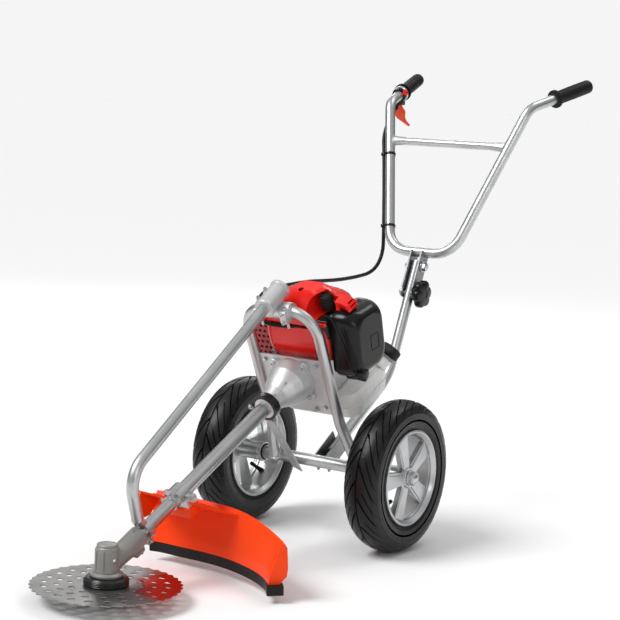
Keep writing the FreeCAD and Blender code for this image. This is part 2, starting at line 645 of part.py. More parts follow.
def guard_cheek():
    """The upright plate under the roof's right front corner."""
    return prism([V(GUARD_CHEEK_X, y, z) for y, z in GUARD_CHEEK], V(GUARD_T, 0, 0))


def blade_guard():
    """The moulded guard: a skirt about the blade, a roof that rises to the clamp and its cheek."""
    solid = guarded(fused([guard_wall(), guard_roof(), guard_cheek()]))
    return solid.cut(leaned(rod(SLEEVE_R + 1.5, V(0, -560, CRANK_Z), V(0, -300, CRANK_Z))))


def guard_flap():
    """The dark rubber strip under the skirt, with the block at its left end."""
    sections = [guard_section(station[:3], [(0, 0), (FLAP_T, 0), (FLAP_T, -FLAP_H), (0, -FLAP_H)])
                for station in GUARD_STATIONS]
    strip = Part.makeLoft(sections, True, False)
    x, y, turn, _ = GUARD_STATIONS[-1]
    block = turned(rounded_box(-9, 13, -4, 26, 4 - FLAP_H, 0, 2.5, Z_AXIS), -turn, ORIGIN, Z_AXIS)
    return guarded(fused([strip, moved(block, V(x, y, GUARD_LOW))]))


def guard_clamp():
    """The two-piece clamp that carries the guard on the sleeve."""
    half = 14
    y0, y1 = GUARD_CLAMP_Y - half, GUARD_CLAMP_Y + half
    block = rounded_box(-31, 31, y0, y1, CRANK_Z - SLEEVE_R - 12, CRANK_Z + 2, 5, Y_AXIS)
    cap = rod(SLEEVE_R + 6, V(0, y0, CRANK_Z), V(0, y1, CRANK_Z))
    bolts = [rod(4, V(s * 24, GUARD_CLAMP_Y, CRANK_Z - SLEEVE_R - 14), V(s * 24, GUARD_CLAMP_Y, CRANK_Z + 8))
             for s in (-1, 1)]
    solid = fused([block, cap] + bolts)
    solid = leaned(solid.cut(rod(SLEEVE_R, V(0, y0 - 30, CRANK_Z), V(0, y1 + 30, CRANK_Z))))
    return solid.cut(blade_guard())


# ---------------------------------------------------------------- engine
def crankcase():
    """The cast case behind the plate, on the drive axis."""
    front = HOOP_Y + PLATE_T / 2
    low = rounded_box(-CRANKCASE_HALF, CRANKCASE_HALF, front, CRANKCASE_BACK, CRANKCASE_LOW, SHROUD_LOW - SEAT, 14, Y_AXIS)
    neck = rounded_box(-CRANKCASE_HALF, CRANKCASE_HALF, 16 + SEAT, CRANKCASE_BACK, CRANKCASE_LOW, CRANKCASE_TOP, 14, Y_AXIS)
    return leaned(fused([low, neck]))


def cylinder_solid():
    """The finned cylinder in the lean frame."""
    core = lofted([(0, 66, 76, 72, 16, CRANKCASE_TOP), (0, 66, 72, 68, 16, CYLINDER_TOP)])
    fins = [rounded_box(-44, 44, 27, 106, z, z + 2.4, 10, Z_AXIS) for z in range(272, 326, 7)]
    return fused([core] + fins)


def cylinder():
    """The finned cylinder between the covers."""
    return leaned(cylinder_solid())


def cover_body(inset):
    """The top cover's outer form, or its hollow when the inset is the wall's thickness."""
    tall = COVER_TOP - SEAM_HIGH
    body = lofted([(cx, cy, wide - 2 * inset, deep - 2 * inset, radius - inset, SEAM_HIGH + share * tall - inset)
                   for share, cx, cy, wide, deep, radius in COVER_LEVELS], True)
    front, back = WING_Y
    if inset:
        front += WING_RECESS + inset
    wing = prism([V(x - inset, front, SEAM_HIGH + z - inset) for x, z in WING], V(0, back - inset - front, 0))
    return body.fuse(wing)


def cylinder_cover():
    """The red top cover: a hollow dome with a recess for the plug and a louvred wing."""
    outside = cover_body(0)
    mouth, floor = POCKET_Y
    pocket = Part.makeCone(*POCKET_R, floor - mouth, V(BOOT_X, mouth, BOOT_Z), Y_AXIS)
    lining = Part.makeCone(POCKET_R[0] + COVER_WALL, POCKET_R[1] + COVER_WALL, floor - mouth + COVER_WALL,
                           V(BOOT_X, mouth, BOOT_Z), Y_AXIS).common(outside)
    posts = [rod(6, V(x, 66, CYLINDER_TOP + SEAT), V(x, 66, COVER_TOP)).common(outside) for x in (-22, 22)]
    solid = fused([outside.cut(cover_body(COVER_WALL)), lining] + posts)
    recess = prism([V(x - COVER_WALL, WING_Y[0] - 1, SEAM_HIGH + z - COVER_WALL) for x, z in WING[1:-1]],
                   V(0, WING_RECESS + 1, 0))
    slots = [rounded_box(WING[1][0], WING[3][0] + 1, WING_Y[0] + WING_RECESS + COVER_WALL, WING_Y[1] - COVER_WALL,
                         z, z + 3.6, 1.5, Y_AXIS) for z in (SEAM_HIGH + 20, SEAM_HIGH + 26, SEAM_HIGH + 32)]
    hole = rod(5.5, V(27, 42, COVER_TOP - 20), V(27, 42, COVER_TOP + 1))
    neck = rod(BOOT_NECK_R + 2, V(BOOT_X, floor - 1, BOOT_Z), V(BOOT_X, floor + COVER_WALL + 1, BOOT_Z))
    over_filter = filtered(box(CARBURETTOR[1] - 1, 2 * FILTER_OUT, -90, 90, -90, FILTER_TALL / 2 + SEAT))
    return leaned(solid.cut([pocket, recess, hole, neck] + slots).cut(carburettor_room()).cut(over_filter))


def spark_plug_boot():
    """The black plug cap in the cover's recess, with its foot on the cylinder."""
    wide, tall = BOOT_HALF
    floor = POCKET_Y[1]
    cap = rounded_box(BOOT_X - wide, BOOT_X + wide, BOOT_FRONT, floor - 2, BOOT_Z - tall, BOOT_Z + tall, 4)
    behind = floor + COVER_WALL + BOOT_FOOT_R + SEAT
    neck = rod(BOOT_NECK_R, V(BOOT_X, floor - 4, BOOT_Z), V(BOOT_X, behind, BOOT_Z))
    foot = rod(BOOT_FOOT_R, V(BOOT_X, behind, BOOT_Z), V(34, behind, CYLINDER_TOP - 2))
    return leaned(fused([cap, neck, foot]).cut(cylinder_solid()))


def shroud_solid():
    """The shroud round the cylinder's foot in the lean frame."""
    sections = [(12, 56, 148, 88, 18, SHROUD_LOW), (12, 53, 151.4, 90, 20, 280), (12, 55, 148, 86, 20, SEAM_LOW)]
    solid = lofted(sections)
    half = CRANKCASE_HALF + SEAT
    solid = solid.cut([box(-half, half, 16, 200, 100, CRANKCASE_TOP + SEAT),
                       box(-44 - SEAT, 44 + SEAT, 27 - SEAT, 106 + SEAT, CRANKCASE_TOP, 400)])
    return solid.cut(carburettor_room())


def lower_shroud():
    """The red shroud round the cylinder's foot, bowed to the front."""
    return leaned(shroud_solid())


def muffler():
    """The silencer box on the right side."""
    return leaned(rounded_box(-106, -60, 36, 100, 230, 296, 8, X_AXIS).cut(shroud_solid()))


def muffler_guard():
    """The perforated red guard round the silencer, open towards the cylinder."""
    outer = rounded_box(-112, -20, 28, 108, 222, 304, 12, Z_AXIS)
    outer = outer.common(box(-200, -62, 0, 200, 200, 400)).cut(shroud_solid())
    shell = outer.cut(rounded_box(-109, -20, 31, 105, 225, 301, 9, Z_AXIS))
    holes = []
    for row in range(6):
        z = 232 + row * 12.5
        shift = (row % 2) * 5.5
        holes += [rod(3.6, V(-120, 42 + column * 13 + shift, z), V(-106, 42 + column * 13 + shift, z))
                  for column in range(4)]
        holes += [rod(3.4, V(-99 + column * 11 + shift, 16, z), V(-99 + column * 11 + shift, 34, z))
                  for column in range(3)]
    return leaned(shell.cut(holes))


def carburettor_room():
    """The space the carburettor takes under the covers."""
    x0, x1, y0, y1, z0, z1 = CARBURETTOR
    room = box(x0 - SEAT, x1 + 1, y0 - SEAT, y1 + SEAT, z0 - SEAT, z1 + SEAT)
    return room.fuse(rod(10 + SEAT, V(44, 46, 306), V(x0 + 1, 46, 306)))


def carburettor():
    """The carburettor body between the cylinder and the air filter."""
    x0, x1, y0, y1, z0, z1 = CARBURETTOR
    body = rounded_box(x0, x1, y0, y1, z0, z1, 3, X_AXIS)
    return leaned(fused([body, rod(10, V(44 + SEAT, 46, 306), V(x0 + 1, 46, 306))]))


def air_filter_base():
    """The black back plate of the air filter."""
    plate = rounded_box(CARBURETTOR[1] + SEAT, FILTER_X, -52, 52, -62, 62, 16, X_AXIS)
    return leaned(filtered(plate))


def filtered(shape):
    """From the filter's own middle to the lean frame: it is turned nearer to level."""
    return moved(turned(shape, -FILTER_TURN), V(0, FILTER_Y, FILTER_Z))


def air_filter_cover():
    """The black air filter cover, rounded all over, with the latch under it."""
    deep = FILTER_OUT - FILTER_X - SEAT
    sections = [(0, 0, FILTER_TALL, 114, 24, 0), (0, 0, FILTER_TALL - 2, 112, 26, 0.55 * deep), (0, 0, 118, 98, 30, 0.9 * deep), (0, 0, 98, 78, 30, deep)]
    shell = turned(turned(lofted(sections), 90, ORIGIN, Y_AXIS), 90, ORIGIN, X_AXIS)
    shell = turned(shell, 90)
    shell = moved(shell, V(FILTER_X + SEAT, 0, 0))
    latch = rod(13, V(FILTER_X + 12, -30, -62), V(FILTER_OUT - 8, -30, -62))
    return leaned(filtered(fused([shell, latch])))


def starter_solid():
    """The recoil housing in the lean frame."""
    back = CRANKCASE_BACK + SEAT
    outline = [(0, back), (STARTER_R, back), (STARTER_R, back + 24), (STARTER_R - 6, back + 38),
               (STARTER_R - 22, back + 46), (0, back + 46)]
    return revolved([V(r, y, CRANK_Z) for r, y in outline], Y_AXIS, V(0, 0, CRANK_Z))


def recoil_starter():
    """The black recoil housing at the rear of the crankshaft."""
    return leaned(starter_solid())


def starter_handle():
    """The pull handle that rests on the starter's rim."""
    grip = rounded_box(-46, -20, 108, 118, 266, 286, 4)
    return leaned(fused([grip, rod(5, V(-33, 113, 250), V(-33, 113, 270))]).cut(starter_solid()))


def tank_solid():
    """The fuel tank with its filler neck in the lean frame."""
    sections = [(6, 96, 176, 130, 26, 98), (6, 98, 186, 140, 30, 120), (6, 98, 180, 140, 30, TANK_TOP)]
    return fused([lofted(sections), rod(16, CAP_FOOT, CAP_FOOT + CAP_ALONG * 26)])


def fuel_tank():
    """The pale tank under and behind the crankcase."""
    return leaned(tank_solid())


def fuel_cap():
    """The black filler cap at the tank's left rear."""
    cap = rod(CAP_R, CAP_FOOT + CAP_ALONG * (26 + SEAT), CAP_FOOT + CAP_ALONG * 48)
    return leaned(cap.cut(tank_solid()))


# ---------------------------------------------------------------- handle
def handle_channel():
    """The channel under the lower bar: it straddles the post and leaves an open slot for the knob."""
    inner, outer = POST_R + SEAT, POST_R + SEAT + CHANNEL_WALL
    low, high = -KNOB_DROP - 12, BAR_LOW
    side = [V(0, -CHANNEL_FRONT, low + 8), V(0, -CHANNEL_FRONT, high), V(0, outer, high), V(0, outer, low + 4),
            V(0, outer - 6, low), V(0, -CHANNEL_FRONT + 8, low)]
    flanges = [prism([V(x, p.y, p.z) for p in side], V(CHANNEL_WALL, 0, 0)) for x in (-outer, inner)]
    web = box(-outer, outer, inner, outer, low + 4, -POST_R - 1)
    solid = fused(flanges + [web])
    reach = KNOB_DROP + PIVOT_R + 0.6
    ring = rod(reach, V(-50, 0, 0), V(50, 0, 0)).cut(rod(KNOB_DROP - PIVOT_R - 0.6, V(-50, 0, 0), V(50, 0, 0)))
    slot = ring.common(box(-50, 50, -40, 0, -KNOB_DROP - 20, 0))
    solid = solid.cut([slot, rod(PIVOT_R + 0.6, V(-50, 0, -KNOB_DROP), V(50, 0, -KNOB_DROP)),
                       rod(PIVOT_R, V(-50, 0, 0), V(50, 0, 0)), rod(BAR_R, V(-50, 0, BAR_LOW), V(50, 0, BAR_LOW))])
    return handled(solid)


def pivot_bolt():
    """The fold bolt with its head and nut."""
    outer = POST_R + SEAT + CHANNEL_WALL
    shank = rod(PIVOT_R, V(-outer - 5, 0, 0), V(outer + 5, 0, 0))
    ends = [rod(7.5, V(s * outer, 0, 0), V(s * (outer + 5), 0, 0)) for s in (-1, 1)]
    return handled(fused([shank] + ends))


def clamp_knob():
    """The black star knob on the lower bolt."""
    outer = POST_R + SEAT + CHANNEL_WALL + SEAT
    boss = rod(12, V(outer, 0, -KNOB_DROP), V(outer + 8, 0, -KNOB_DROP))
    disc = rod(KNOB_R - 6, V(outer + 6, 0, -KNOB_DROP), V(outer + 6 + KNOB_T, 0, -KNOB_DROP))
    lobes = []
    for k in range(6):
        lobe = rod(KNOB_LOBE_R, V(outer + 6, 0, KNOB_R - KNOB_LOBE_R), V(outer + 6 + KNOB_T, 0, KNOB_R - KNOB_LOBE_R))
        lobes.append(moved(turned(lobe, 60 * k), V(0, 0, -KNOB_DROP)))
    bolt = rod(PIVOT_R, V(-outer - 5, 0, -KNOB_DROP), V(outer + 2, 0, -KNOB_DROP))
    head = rod(7, V(-outer - 5, 0, -KNOB_DROP), V(-outer, 0, -KNOB_DROP))
    return handled(fused([boss, disc, bolt, head] + lobes))


def bar_points():
    """The handlebar's middle line in the handle frame, from the right grip to the left."""
    left = [V(BAR_LOW_HALF, 0, BAR_LOW), V(BAR_TOP_HALF, 0, BAR_TOP), BAR_END]
    right = [V(-p.x, p.y, p.z) for p in reversed(left)]
    return right + left


def handlebar():
    """The one bent tube of the handle, from grip to grip."""
    radii = [BAR_TOP_BEND, BAR_LOW_BEND, BAR_LOW_BEND, BAR_TOP_BEND]
    return handled(tube(bar_points(), radii, BAR_R, BAR_WALL))


def leg_x(z):
    """Half the distance between the handle's legs at a height up the handle."""
    share = (z - BAR_LOW) / (BAR_TOP - BAR_LOW)
    return BAR_LOW_HALF + share * (BAR_TOP_HALF - BAR_LOW_HALF)


def crossbar():
    """The thinner tube between the legs: its ends are pressed flat and tall and welded on."""
    reach = leg_x(CROSSBAR_Z)
    middle = reach - CROSSBAR_TAPER
    solids = [rod(CROSSBAR_R, V(-middle, 0, CROSSBAR_Z), V(middle, 0, CROSSBAR_Z))]
    ring = Part.Wire([Part.Circle(ORIGIN, Z_AXIS, CROSSBAR_R).toShape()])
    pressed = Part.Wire([Part.Ellipse(V(0, 0, CROSSBAR_TAPER), *CROSSBAR_END).toShape()])
    end = turned(Part.makeLoft([ring, pressed], True, True), 90, ORIGIN, Y_AXIS)
    for side in (0, 180):
        solids.append(moved(turned(moved(end, V(middle, 0, 0)), side, ORIGIN, Z_AXIS), V(0, 0, CROSSBAR_Z)))
    legs = [rod(BAR_R, V(s * leg_x(BAR_LOW), 0, BAR_LOW), V(s * BAR_TOP_HALF, 0, BAR_TOP)) for s in (-1, 1)]
    return handled(fused(solids).cut(legs))


def arm(side):
    """The end of one arm and the direction back along it, in the handle frame."""
    end = V(side * BAR_END.x, BAR_END.y, BAR_END.z)
    return end, (V(side * BAR_TOP_HALF, 0, BAR_TOP) - end).normalize()


def grip(side):
    """A rubber grip with a flange at its inner end."""
    end, back = arm(side)
    sleeve = rod(GRIP_R, end - back * 4, end + back * GRIP_L)
    flange = rod(GRIP_FLANGE_R, end + back * (GRIP_L - 5), end + back * GRIP_L)
    return handled(fused([sleeve, flange]).cut(rod(BAR_R, end, end + back * 200)))


def throttle_body():
    """The trigger housing clamped round the right arm."""
    end, back = arm(-1)
    start = end + back * (GRIP_L + SEAT)
    ring = rod(BAR_R + 5, start, start + back * 26)
    pod = handle_level(rounded_box(-10, 10, -15, 15, -34, -6, 5), start + back * 13)
    return handled(fused([ring, pod]).cut(rod(BAR_R, end, end + back * 220)))


def handle_level(shape, place):
    """A shape drawn level, put at a place of the handle frame."""
    return moved(turned(shape, HANDLE_LEAN), place)


def throttle_trigger():
    """The orange lever that hangs under the housing."""
    end, back = arm(-1)
    place = end + back * (GRIP_L + SEAT + 13)
    outline = [V(-4, -13, -34 - SEAT), V(-4, 13, -34 - SEAT), V(-4, 14, -48), V(-4, 4, -72), V(-4, -6, -76), V(-4, -10, -60)]
    return handled(handle_level(prism(outline, V(8, 0, 0)), place))


def beside_leg(z, y=0.0):
    """Where the cable runs along the outside of the right leg, in the handle frame."""
    slope = math.hypot(BAR_TOP_HALF - BAR_LOW_HALF, BAR_TOP - BAR_LOW) / (BAR_TOP - BAR_LOW)
    return V(-leg_x(z) - (BAR_R + CABLE_R + SEAT) * slope, y, z)


def cable_ties():
    """The two ties that hold the cable to the right leg."""
    rings = []
    along = (V(-BAR_TOP_HALF, 0, BAR_TOP) - V(-BAR_LOW_HALF, 0, BAR_LOW)).normalize()
    for z in TIE_HEIGHTS:
        bar, cable = V(-leg_x(z), 0, z), beside_leg(z)
        ring = fused([rod(BAR_R + TIE_T, bar - along * 2.5, bar + along * 2.5),
                      rod(CABLE_R + TIE_GAP + TIE_T, cable - along * 2.5, cable + along * 2.5)])
        rings.append(ring.cut([rod(BAR_R, bar - along * 9, bar + along * 9),
                               rod(CABLE_R + TIE_GAP, cable - along * 9, cable + along * 9)]))
    return handled(Part.makeCompound(rings))


# ---------------------------------------------------------------- throttle cable
CABLE_POINTS = [lean_point(p) for p in (
    V(64, 22, 317), V(40, 22, 317), V(6, 6, 317), V(-30, 3.5, 317.5), V(-58, 6, 320), V(-77, 20, 331),
    V(-87, 42, 342), V(-89, 70, 347))] + [
    PIVOT + p for p in (
        V(-88, -404.6, -28.7), V(-86, -359.6, -25.5), V(-88, -284.6, -23.5), V(-93, -216.6, -26.8),
        V(-98, -149.6, -29.2), V(-100.5, -82.6, -27.5), V(-101.5, -26.6, -23), V(-102, 7.4, -7), V(-102, 25.4, 22))] + [
    handle_point(p) for p in (
        beside_leg(58), beside_leg(110, 1.0), beside_leg(166, 1.5), beside_leg(216, 1.0), beside_leg(262),
        V(-170, 3.4, 293.2), V(-180, 19.9, 334.6), V(-188, 42.7, 363.4))]


def cable_radii(points):
    """The largest arcs that the runs beside each point allow."""
    radii = []
    for before, corner, after in zip(points, points[1:], points[2:]):
        into, out = corner - before, after - corner
        shorter = min(into.Length, out.Length)
        radii.append(0.45 * shorter / math.tan(into.getAngle(out) / 2))
    return radii


def throttle_cable():
    """The cable in its black sheath, from the carburettor to the trigger housing."""
    path = bent_path(CABLE_POINTS, cable_radii(CABLE_POINTS))
    solid = pipe(path, CABLE_R)
    share = solid.Volume / (math.pi * CABLE_R ** 2 * path.Length)
    print("cable length", round(path.Length, 1), "volume ratio", round(share, 4))
    print("cable radii", [round(r) for r in cable_radii(CABLE_POINTS)])
    return solid


# ---------------------------------------------------------------- export
def nodes():
    """Every sub-part by its node's name."""
    return {
        "axle": axle(),
        "hoop_frame": hoop_frame(),
        "engine_plate": engine_plate(),
        "axle_strap": axle_strap(),
        "post_bracket": post_bracket(),
        "rear_post": rear_post(),
        "brace_tube": brace_tube(),
        "brace_clamp": brace_clamp(),
        "front_collar": front_collar(),
        "drive_tube": drive_tube(),
        "clutch_housing": clutch_housing(),
        "clutch_collar": clutch_collar(),
        "gear_head": gear_head(),
        "guard_clamp": guard_clamp(),
        "blade_guard": blade_guard(),
        "guard_flap": guard_flap(),
        "crankcase": crankcase(),
        "cylinder": cylinder(),
        "cylinder_cover": cylinder_cover(),
        "spark_plug_boot": spark_plug_boot(),
        "lower_shroud": lower_shroud(),
        "muffler": muffler(),
        "muffler_guard": muffler_guard(),
        "carburettor": carburettor(),
        "air_filter_base": air_filter_base(),
        "air_filter_cover": air_filter_cover(),
        "recoil_starter": recoil_starter(),
        "starter_handle": starter_handle(),
        "fuel_tank": fuel_tank(),
        "fuel_cap": fuel_cap(),
        "throttle_cable": throttle_cable(),
        "blade": blade(),
        "blade_flange": blade_flange(),
        "blade_cup": blade_cup(),
        "spindle": spindle(),
        "tyre_left": tyre(1),
        "rim_left": rim(1),
        "tyre_right": tyre(-1),
        "rim_right": rim(-1),
        "clamp_knob": clamp_knob(),
        "handle_channel": handle_channel(),
        "pivot_bolt": pivot_bolt(),
        "handlebar": handlebar(),
        "crossbar": crossbar(),
        "grip_left": grip(1),
        "grip_right": grip(-1),
        "throttle_body": throttle_body(),
        "throttle_trigger": throttle_trigger(),
        "cable_ties": cable_ties(),
    }


def main():
    """Write one STEP file for each node."""
    os.makedirs("parts", exist_ok=True)
    for name, shape in nodes().items():
        placed = moved(shape, ORIGIN_SHIFT)
        if not placed.isValid() or placed.Volume <= 0:
            print("check", name, placed.isValid(), round(placed.Volume, 1))
        if len(placed.Solids) != 1:
            print("solids", name, len(placed.Solids))
        placed.exportStep("parts/" + name + ".step")


main()
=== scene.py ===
"""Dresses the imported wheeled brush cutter: camera, light, throttle cable, fittings and finishes.

Shapes are drawn in millimetres in the machine's own frames (floor, lean, handle, guard, filter) and
put into the row frame, in metres, when a piece is made.
"""

import logging
import math
from collections.abc import Callable, Sequence
from dataclasses import dataclass, field
from enum import Enum
from typing import Any

import bpy
import numpy as np
from mathutils import Matrix


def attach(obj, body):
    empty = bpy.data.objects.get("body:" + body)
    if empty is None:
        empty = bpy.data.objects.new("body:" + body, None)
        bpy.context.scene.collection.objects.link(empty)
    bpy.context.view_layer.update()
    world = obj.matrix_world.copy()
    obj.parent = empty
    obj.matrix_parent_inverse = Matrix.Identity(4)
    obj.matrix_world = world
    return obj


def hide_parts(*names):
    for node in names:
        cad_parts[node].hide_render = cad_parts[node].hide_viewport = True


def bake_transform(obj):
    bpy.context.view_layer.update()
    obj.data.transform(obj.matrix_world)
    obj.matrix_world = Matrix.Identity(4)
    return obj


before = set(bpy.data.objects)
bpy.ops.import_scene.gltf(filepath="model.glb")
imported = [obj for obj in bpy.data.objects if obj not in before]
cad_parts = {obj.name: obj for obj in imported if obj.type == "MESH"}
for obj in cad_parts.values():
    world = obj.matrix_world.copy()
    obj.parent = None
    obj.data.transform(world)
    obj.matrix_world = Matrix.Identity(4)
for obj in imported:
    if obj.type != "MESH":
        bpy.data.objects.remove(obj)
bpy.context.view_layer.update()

LOG = logging.getLogger("brush_cutter")
MM = 0.001
Triple = tuple[float, float, float]
Socket = bpy.types.NodeSocket
FRONT, BACK, UP, DOWN, LEFT, RIGHT = (0, -1, 0), (0, 1, 0), (0, 0, 1), (0, 0, -1), (1, 0, 0), (-1, 0, 0)
SIDES = (-1, 1)
# past these angles, in degrees, an edge is shown sharp
CRISP, USUAL, CURVED, BLUNT = 28.0, 35.0, 40.0, 50.0

# the machine's own measures, in millimetres and degrees
AXLE_Y, AXLE_Z = 44.0, 150.0
LEAN_BY = 26.5
FOLD_Y, FOLD_Z = 344.6, 526.0
HANDLE_BY = 22.3
HEAD_Y, BLADE_Z = -650.0, 29.0
GUARD_BY = 4.65
HALF_TRACK = 182.0
CRANK_Z, BOLT_CIRCLE = 208.0, 50.0
PLATE_Y = -10.5
CABLE_END = (-188, 42.7, 363.4)


# ---------------------------------------------------------------- frames
def moved(x: float, y: float, z: float) -> np.ndarray:
    """A 4x4 shift by (x, y, z)."""
    out = np.eye(4)
    out[:3, 3] = x, y, z
    return out


def turned(degrees: float, axis: int = 0) -> np.ndarray:
    """A 4x4 turn about X (0), Y (1) or Z (2)."""
    c, s = math.cos(math.radians(degrees)), math.sin(math.radians(degrees))
    i, j = [(1, 2), (2, 0), (0, 1)][axis]
    out = np.eye(4)
    out[i, i], out[i, j], out[j, i], out[j, j] = c, -s, s, c
    return out


def put(place: np.ndarray, points: Any) -> np.ndarray:
    """Points moved by a 4x4, whatever the array's leading shape."""
    return np.asarray(points, float) @ place[:3, :3].T + place[:3, 3]


def unit(vector: Any) -> np.ndarray:
    """The vector, or each of an array of them, with length one."""
    vector = np.asarray(vector, float)
    return vector / np.linalg.norm(vector, axis=-1, keepdims=True)


def aimed(at: Any, along: Any) -> np.ndarray:
    """A frame with its origin at a place and its z axis pointing one way."""
    z = unit(along)
    helper = np.array([1.0, 0, 0]) if abs(z[0]) < 0.9 else np.array([0, 1.0, 0])
    x = unit(np.cross(helper, z))
    out = np.eye(4)
    out[:3, 0], out[:3, 1], out[:3, 2], out[:3, 3] = x, np.cross(z, x), z, at
    return out


ROW = moved(0, AXLE_Y, 0)
LEAN = ROW @ moved(0, 0, AXLE_Z) @ turned(LEAN_BY)
HANDLE = ROW @ moved(0, FOLD_Y, FOLD_Z) @ turned(-HANDLE_BY)
HEAD = ROW @ moved(0, HEAD_Y, 0)
GUARD = ROW @ moved(0, HEAD_Y, BLADE_Z) @ turned(GUARD_BY)
FILTER = LEAN @ moved(0, 66, 270) @ turned(-11)


# ---------------------------------------------------------------- surfaces
@dataclass
class Surface:
    """One closed skin: points in millimetres, four-sided faces and triangles."""

    points: np.ndarray
    quads: np.ndarray
    tris: np.ndarray

    def at(self, place: np.ndarray) -> "Surface":
        """The skin moved by a 4x4."""
        return Surface(put(place, self.points), self.quads, self.tris)

    def outward(self) -> "Surface":
        """The skin with its faces turned out.

        The sum over the faces of corner . (next x next but one) is six times the enclosed volume;
        where it is negative, every face's order is turned round.
        """
        q, t = self.points[self.quads], self.points[self.tris]
        volume = sum(float(np.einsum("ij,ij->", f[:, 0], np.cross(f[:, i], f[:, i + 1])))
                     for f, i in ((q, 1), (q, 2), (t, 1)))
        return Surface(self.points, self.quads[:, ::-1], self.tris[:, ::-1]) if volume < 0 else self


def skin(rings: np.ndarray, looped: bool = False) -> Surface:
    """A closed skin over a row of rings.

    Point (i, j) is the j-th of ring i; each face joins (i, j), (i, j+1), (i+1, j+1), (i+1, j), and j
    wraps round. An open row is closed at each end by a fan about the end ring's middle.

    Args:
        rings: an array (rings, points in a ring, 3).
        looped: whether the last ring joins the first.

    Returns:
        The skin, its faces outwards.
    """
    n, m, _ = rings.shape
    i, j = np.meshgrid(np.arange(n if looped else n - 1), np.arange(m), indexing="ij")
    k, up = (j + 1) % m, (i + 1) % n
    quads = np.stack([i * m + j, i * m + k, up * m + k, up * m + j], -1).reshape(-1, 4)
    points = rings.reshape(-1, 3)
    tris = np.empty((0, 3), int)
    if not looped:
        points = np.vstack([points, rings[[0, -1]].mean(axis=1)])
        a = np.arange(m)
        b = (a + 1) % m
        tris = np.vstack([np.stack([np.full(m, n * m), b, a], -1),
                          np.stack([np.full(m, n * m + 1), (n - 1) * m + a, (n - 1) * m + b], -1)])
    return Surface(points, quads, tris).outward()


def around(radius: np.ndarray, angle: np.ndarray, height: np.ndarray) -> np.ndarray:
    """Rings of points (r cos a, r sin a, height)."""
    height = np.broadcast_to(height, radius.shape)
    return np.stack([radius * np.cos(angle), radius * np.sin(angle), height], -1)


def lathed(profile: Any, sides: int = 48, looped: bool = False, place: np.ndarray = np.eye(4)) -> Surface:
    """A turned shape: ring i has radius r_i at height z_i.

    Args:
        profile: rows (radius, height), or (radius, height, hexness) where hexness 1 makes the ring a
            hexagon whose flats lie at the radius, by r / cos(a mod 60 - 30 degrees).
        sides: points round each ring.
        looped: whether the profile closes on itself, as a ring's does.
        place: the 4x4 that the shape is put at.

    Returns:
        The closed skin.
    """
    rows = np.asarray(profile, float)
    angle = np.arange(sides) * 2 * np.pi / sides
    radius = np.repeat(rows[:, :1], sides, axis=1)
    if rows.shape[1] > 2:
        flat = 1 / np.cos(np.mod(angle, np.pi / 3) - np.pi / 6)
        radius = radius * (1 + rows[:, 2:3] * (flat - 1))
    return skin(around(radius, angle, rows[:, 1:2]), looped).at(place)


def lobed(profile: Any, lobes: int, depth: float, sides: int, place: np.ndarray,
          sharp: float = 1.0) -> Surface:
    """A turned shape with lobes: the radius grows by depth * share * |cos(lobes a / 2)|^sharp.

    Args:
        profile: rows (radius, height, share of the lobes' depth).
        lobes: how many stand round it.
        depth: how far each stands out.
        sides: points round each ring.
        place: the 4x4 that the shape is put at.
        sharp: over 1 for narrow lobes, under 1 for wide ones.

    Returns:
        The closed skin.
    """
    rows = np.asarray(profile, float)
    angle = np.arange(sides) * 2 * np.pi / sides
    wave = np.abs(np.cos(lobes * angle / 2)) ** sharp
    return skin(around(rows[:, :1] + depth * rows[:, 2:3] * wave, angle, rows[:, 1:2])).at(place)


def rounded(half_x: Any, half_y: Any, radius: Any, corner: int) -> np.ndarray:
    """Rectangles with round corners, as an array (how many, 4 * corner, 2).

    A corner's points lie at its centre + radius * (cos a, sin a) over a quarter turn.
    """
    hx, hy, r = (np.atleast_1d(np.asarray(v, float))[:, None] for v in (half_x, half_y, radius))
    a = np.radians(np.concatenate([np.linspace(0, 90, corner) + 90 * k for k in range(4)]))
    sx = np.repeat([1.0, -1, -1, 1], corner)
    sy = np.repeat([1.0, 1, -1, -1], corner)
    return np.stack([sx * (hx - r) + r * np.cos(a), sy * (hy - r) + r * np.sin(a)], -1)


def bar(half_x: float, half_y: float, radius: float, corner: int = 3) -> np.ndarray:
    """The outline of one rectangle with round corners."""
    return rounded(half_x, half_y, radius, corner)[0]


def circle(radius: float, sides: int) -> np.ndarray:
    """A round outline."""
    a = np.arange(sides) * 2 * np.pi / sides
    return radius * np.stack([np.cos(a), np.sin(a)], -1)


def rippled(along: np.ndarray, radius: float, ripple: float, rate: float) -> np.ndarray:
    """Round outlines of a weld bead: radius + ripple |sin(rate * along)|."""
    return (radius + ripple * np.abs(np.sin(along * rate)))[:, None, None] * circle(1.0, 8)


def laid(outline: np.ndarray, axis: int, at: Triple) -> np.ndarray:
    """An outline as a path square to an axis, its middle at a place."""
    return np.insert(outline, axis, 0.0, axis=1) + at


def bent(first: Any, bend: Any, last: Any, count: int) -> np.ndarray:
    """Points on the quadratic curve (1 - t)^2 first + 2 t (1 - t) bend + t^2 last."""
    first, bend, last = (np.asarray(point, float) for point in (first, bend, last))
    t = np.linspace(0, 1, count)[:, None]
    return (1 - t) ** 2 * first + 2 * t * (1 - t) * bend + t ** 2 * last


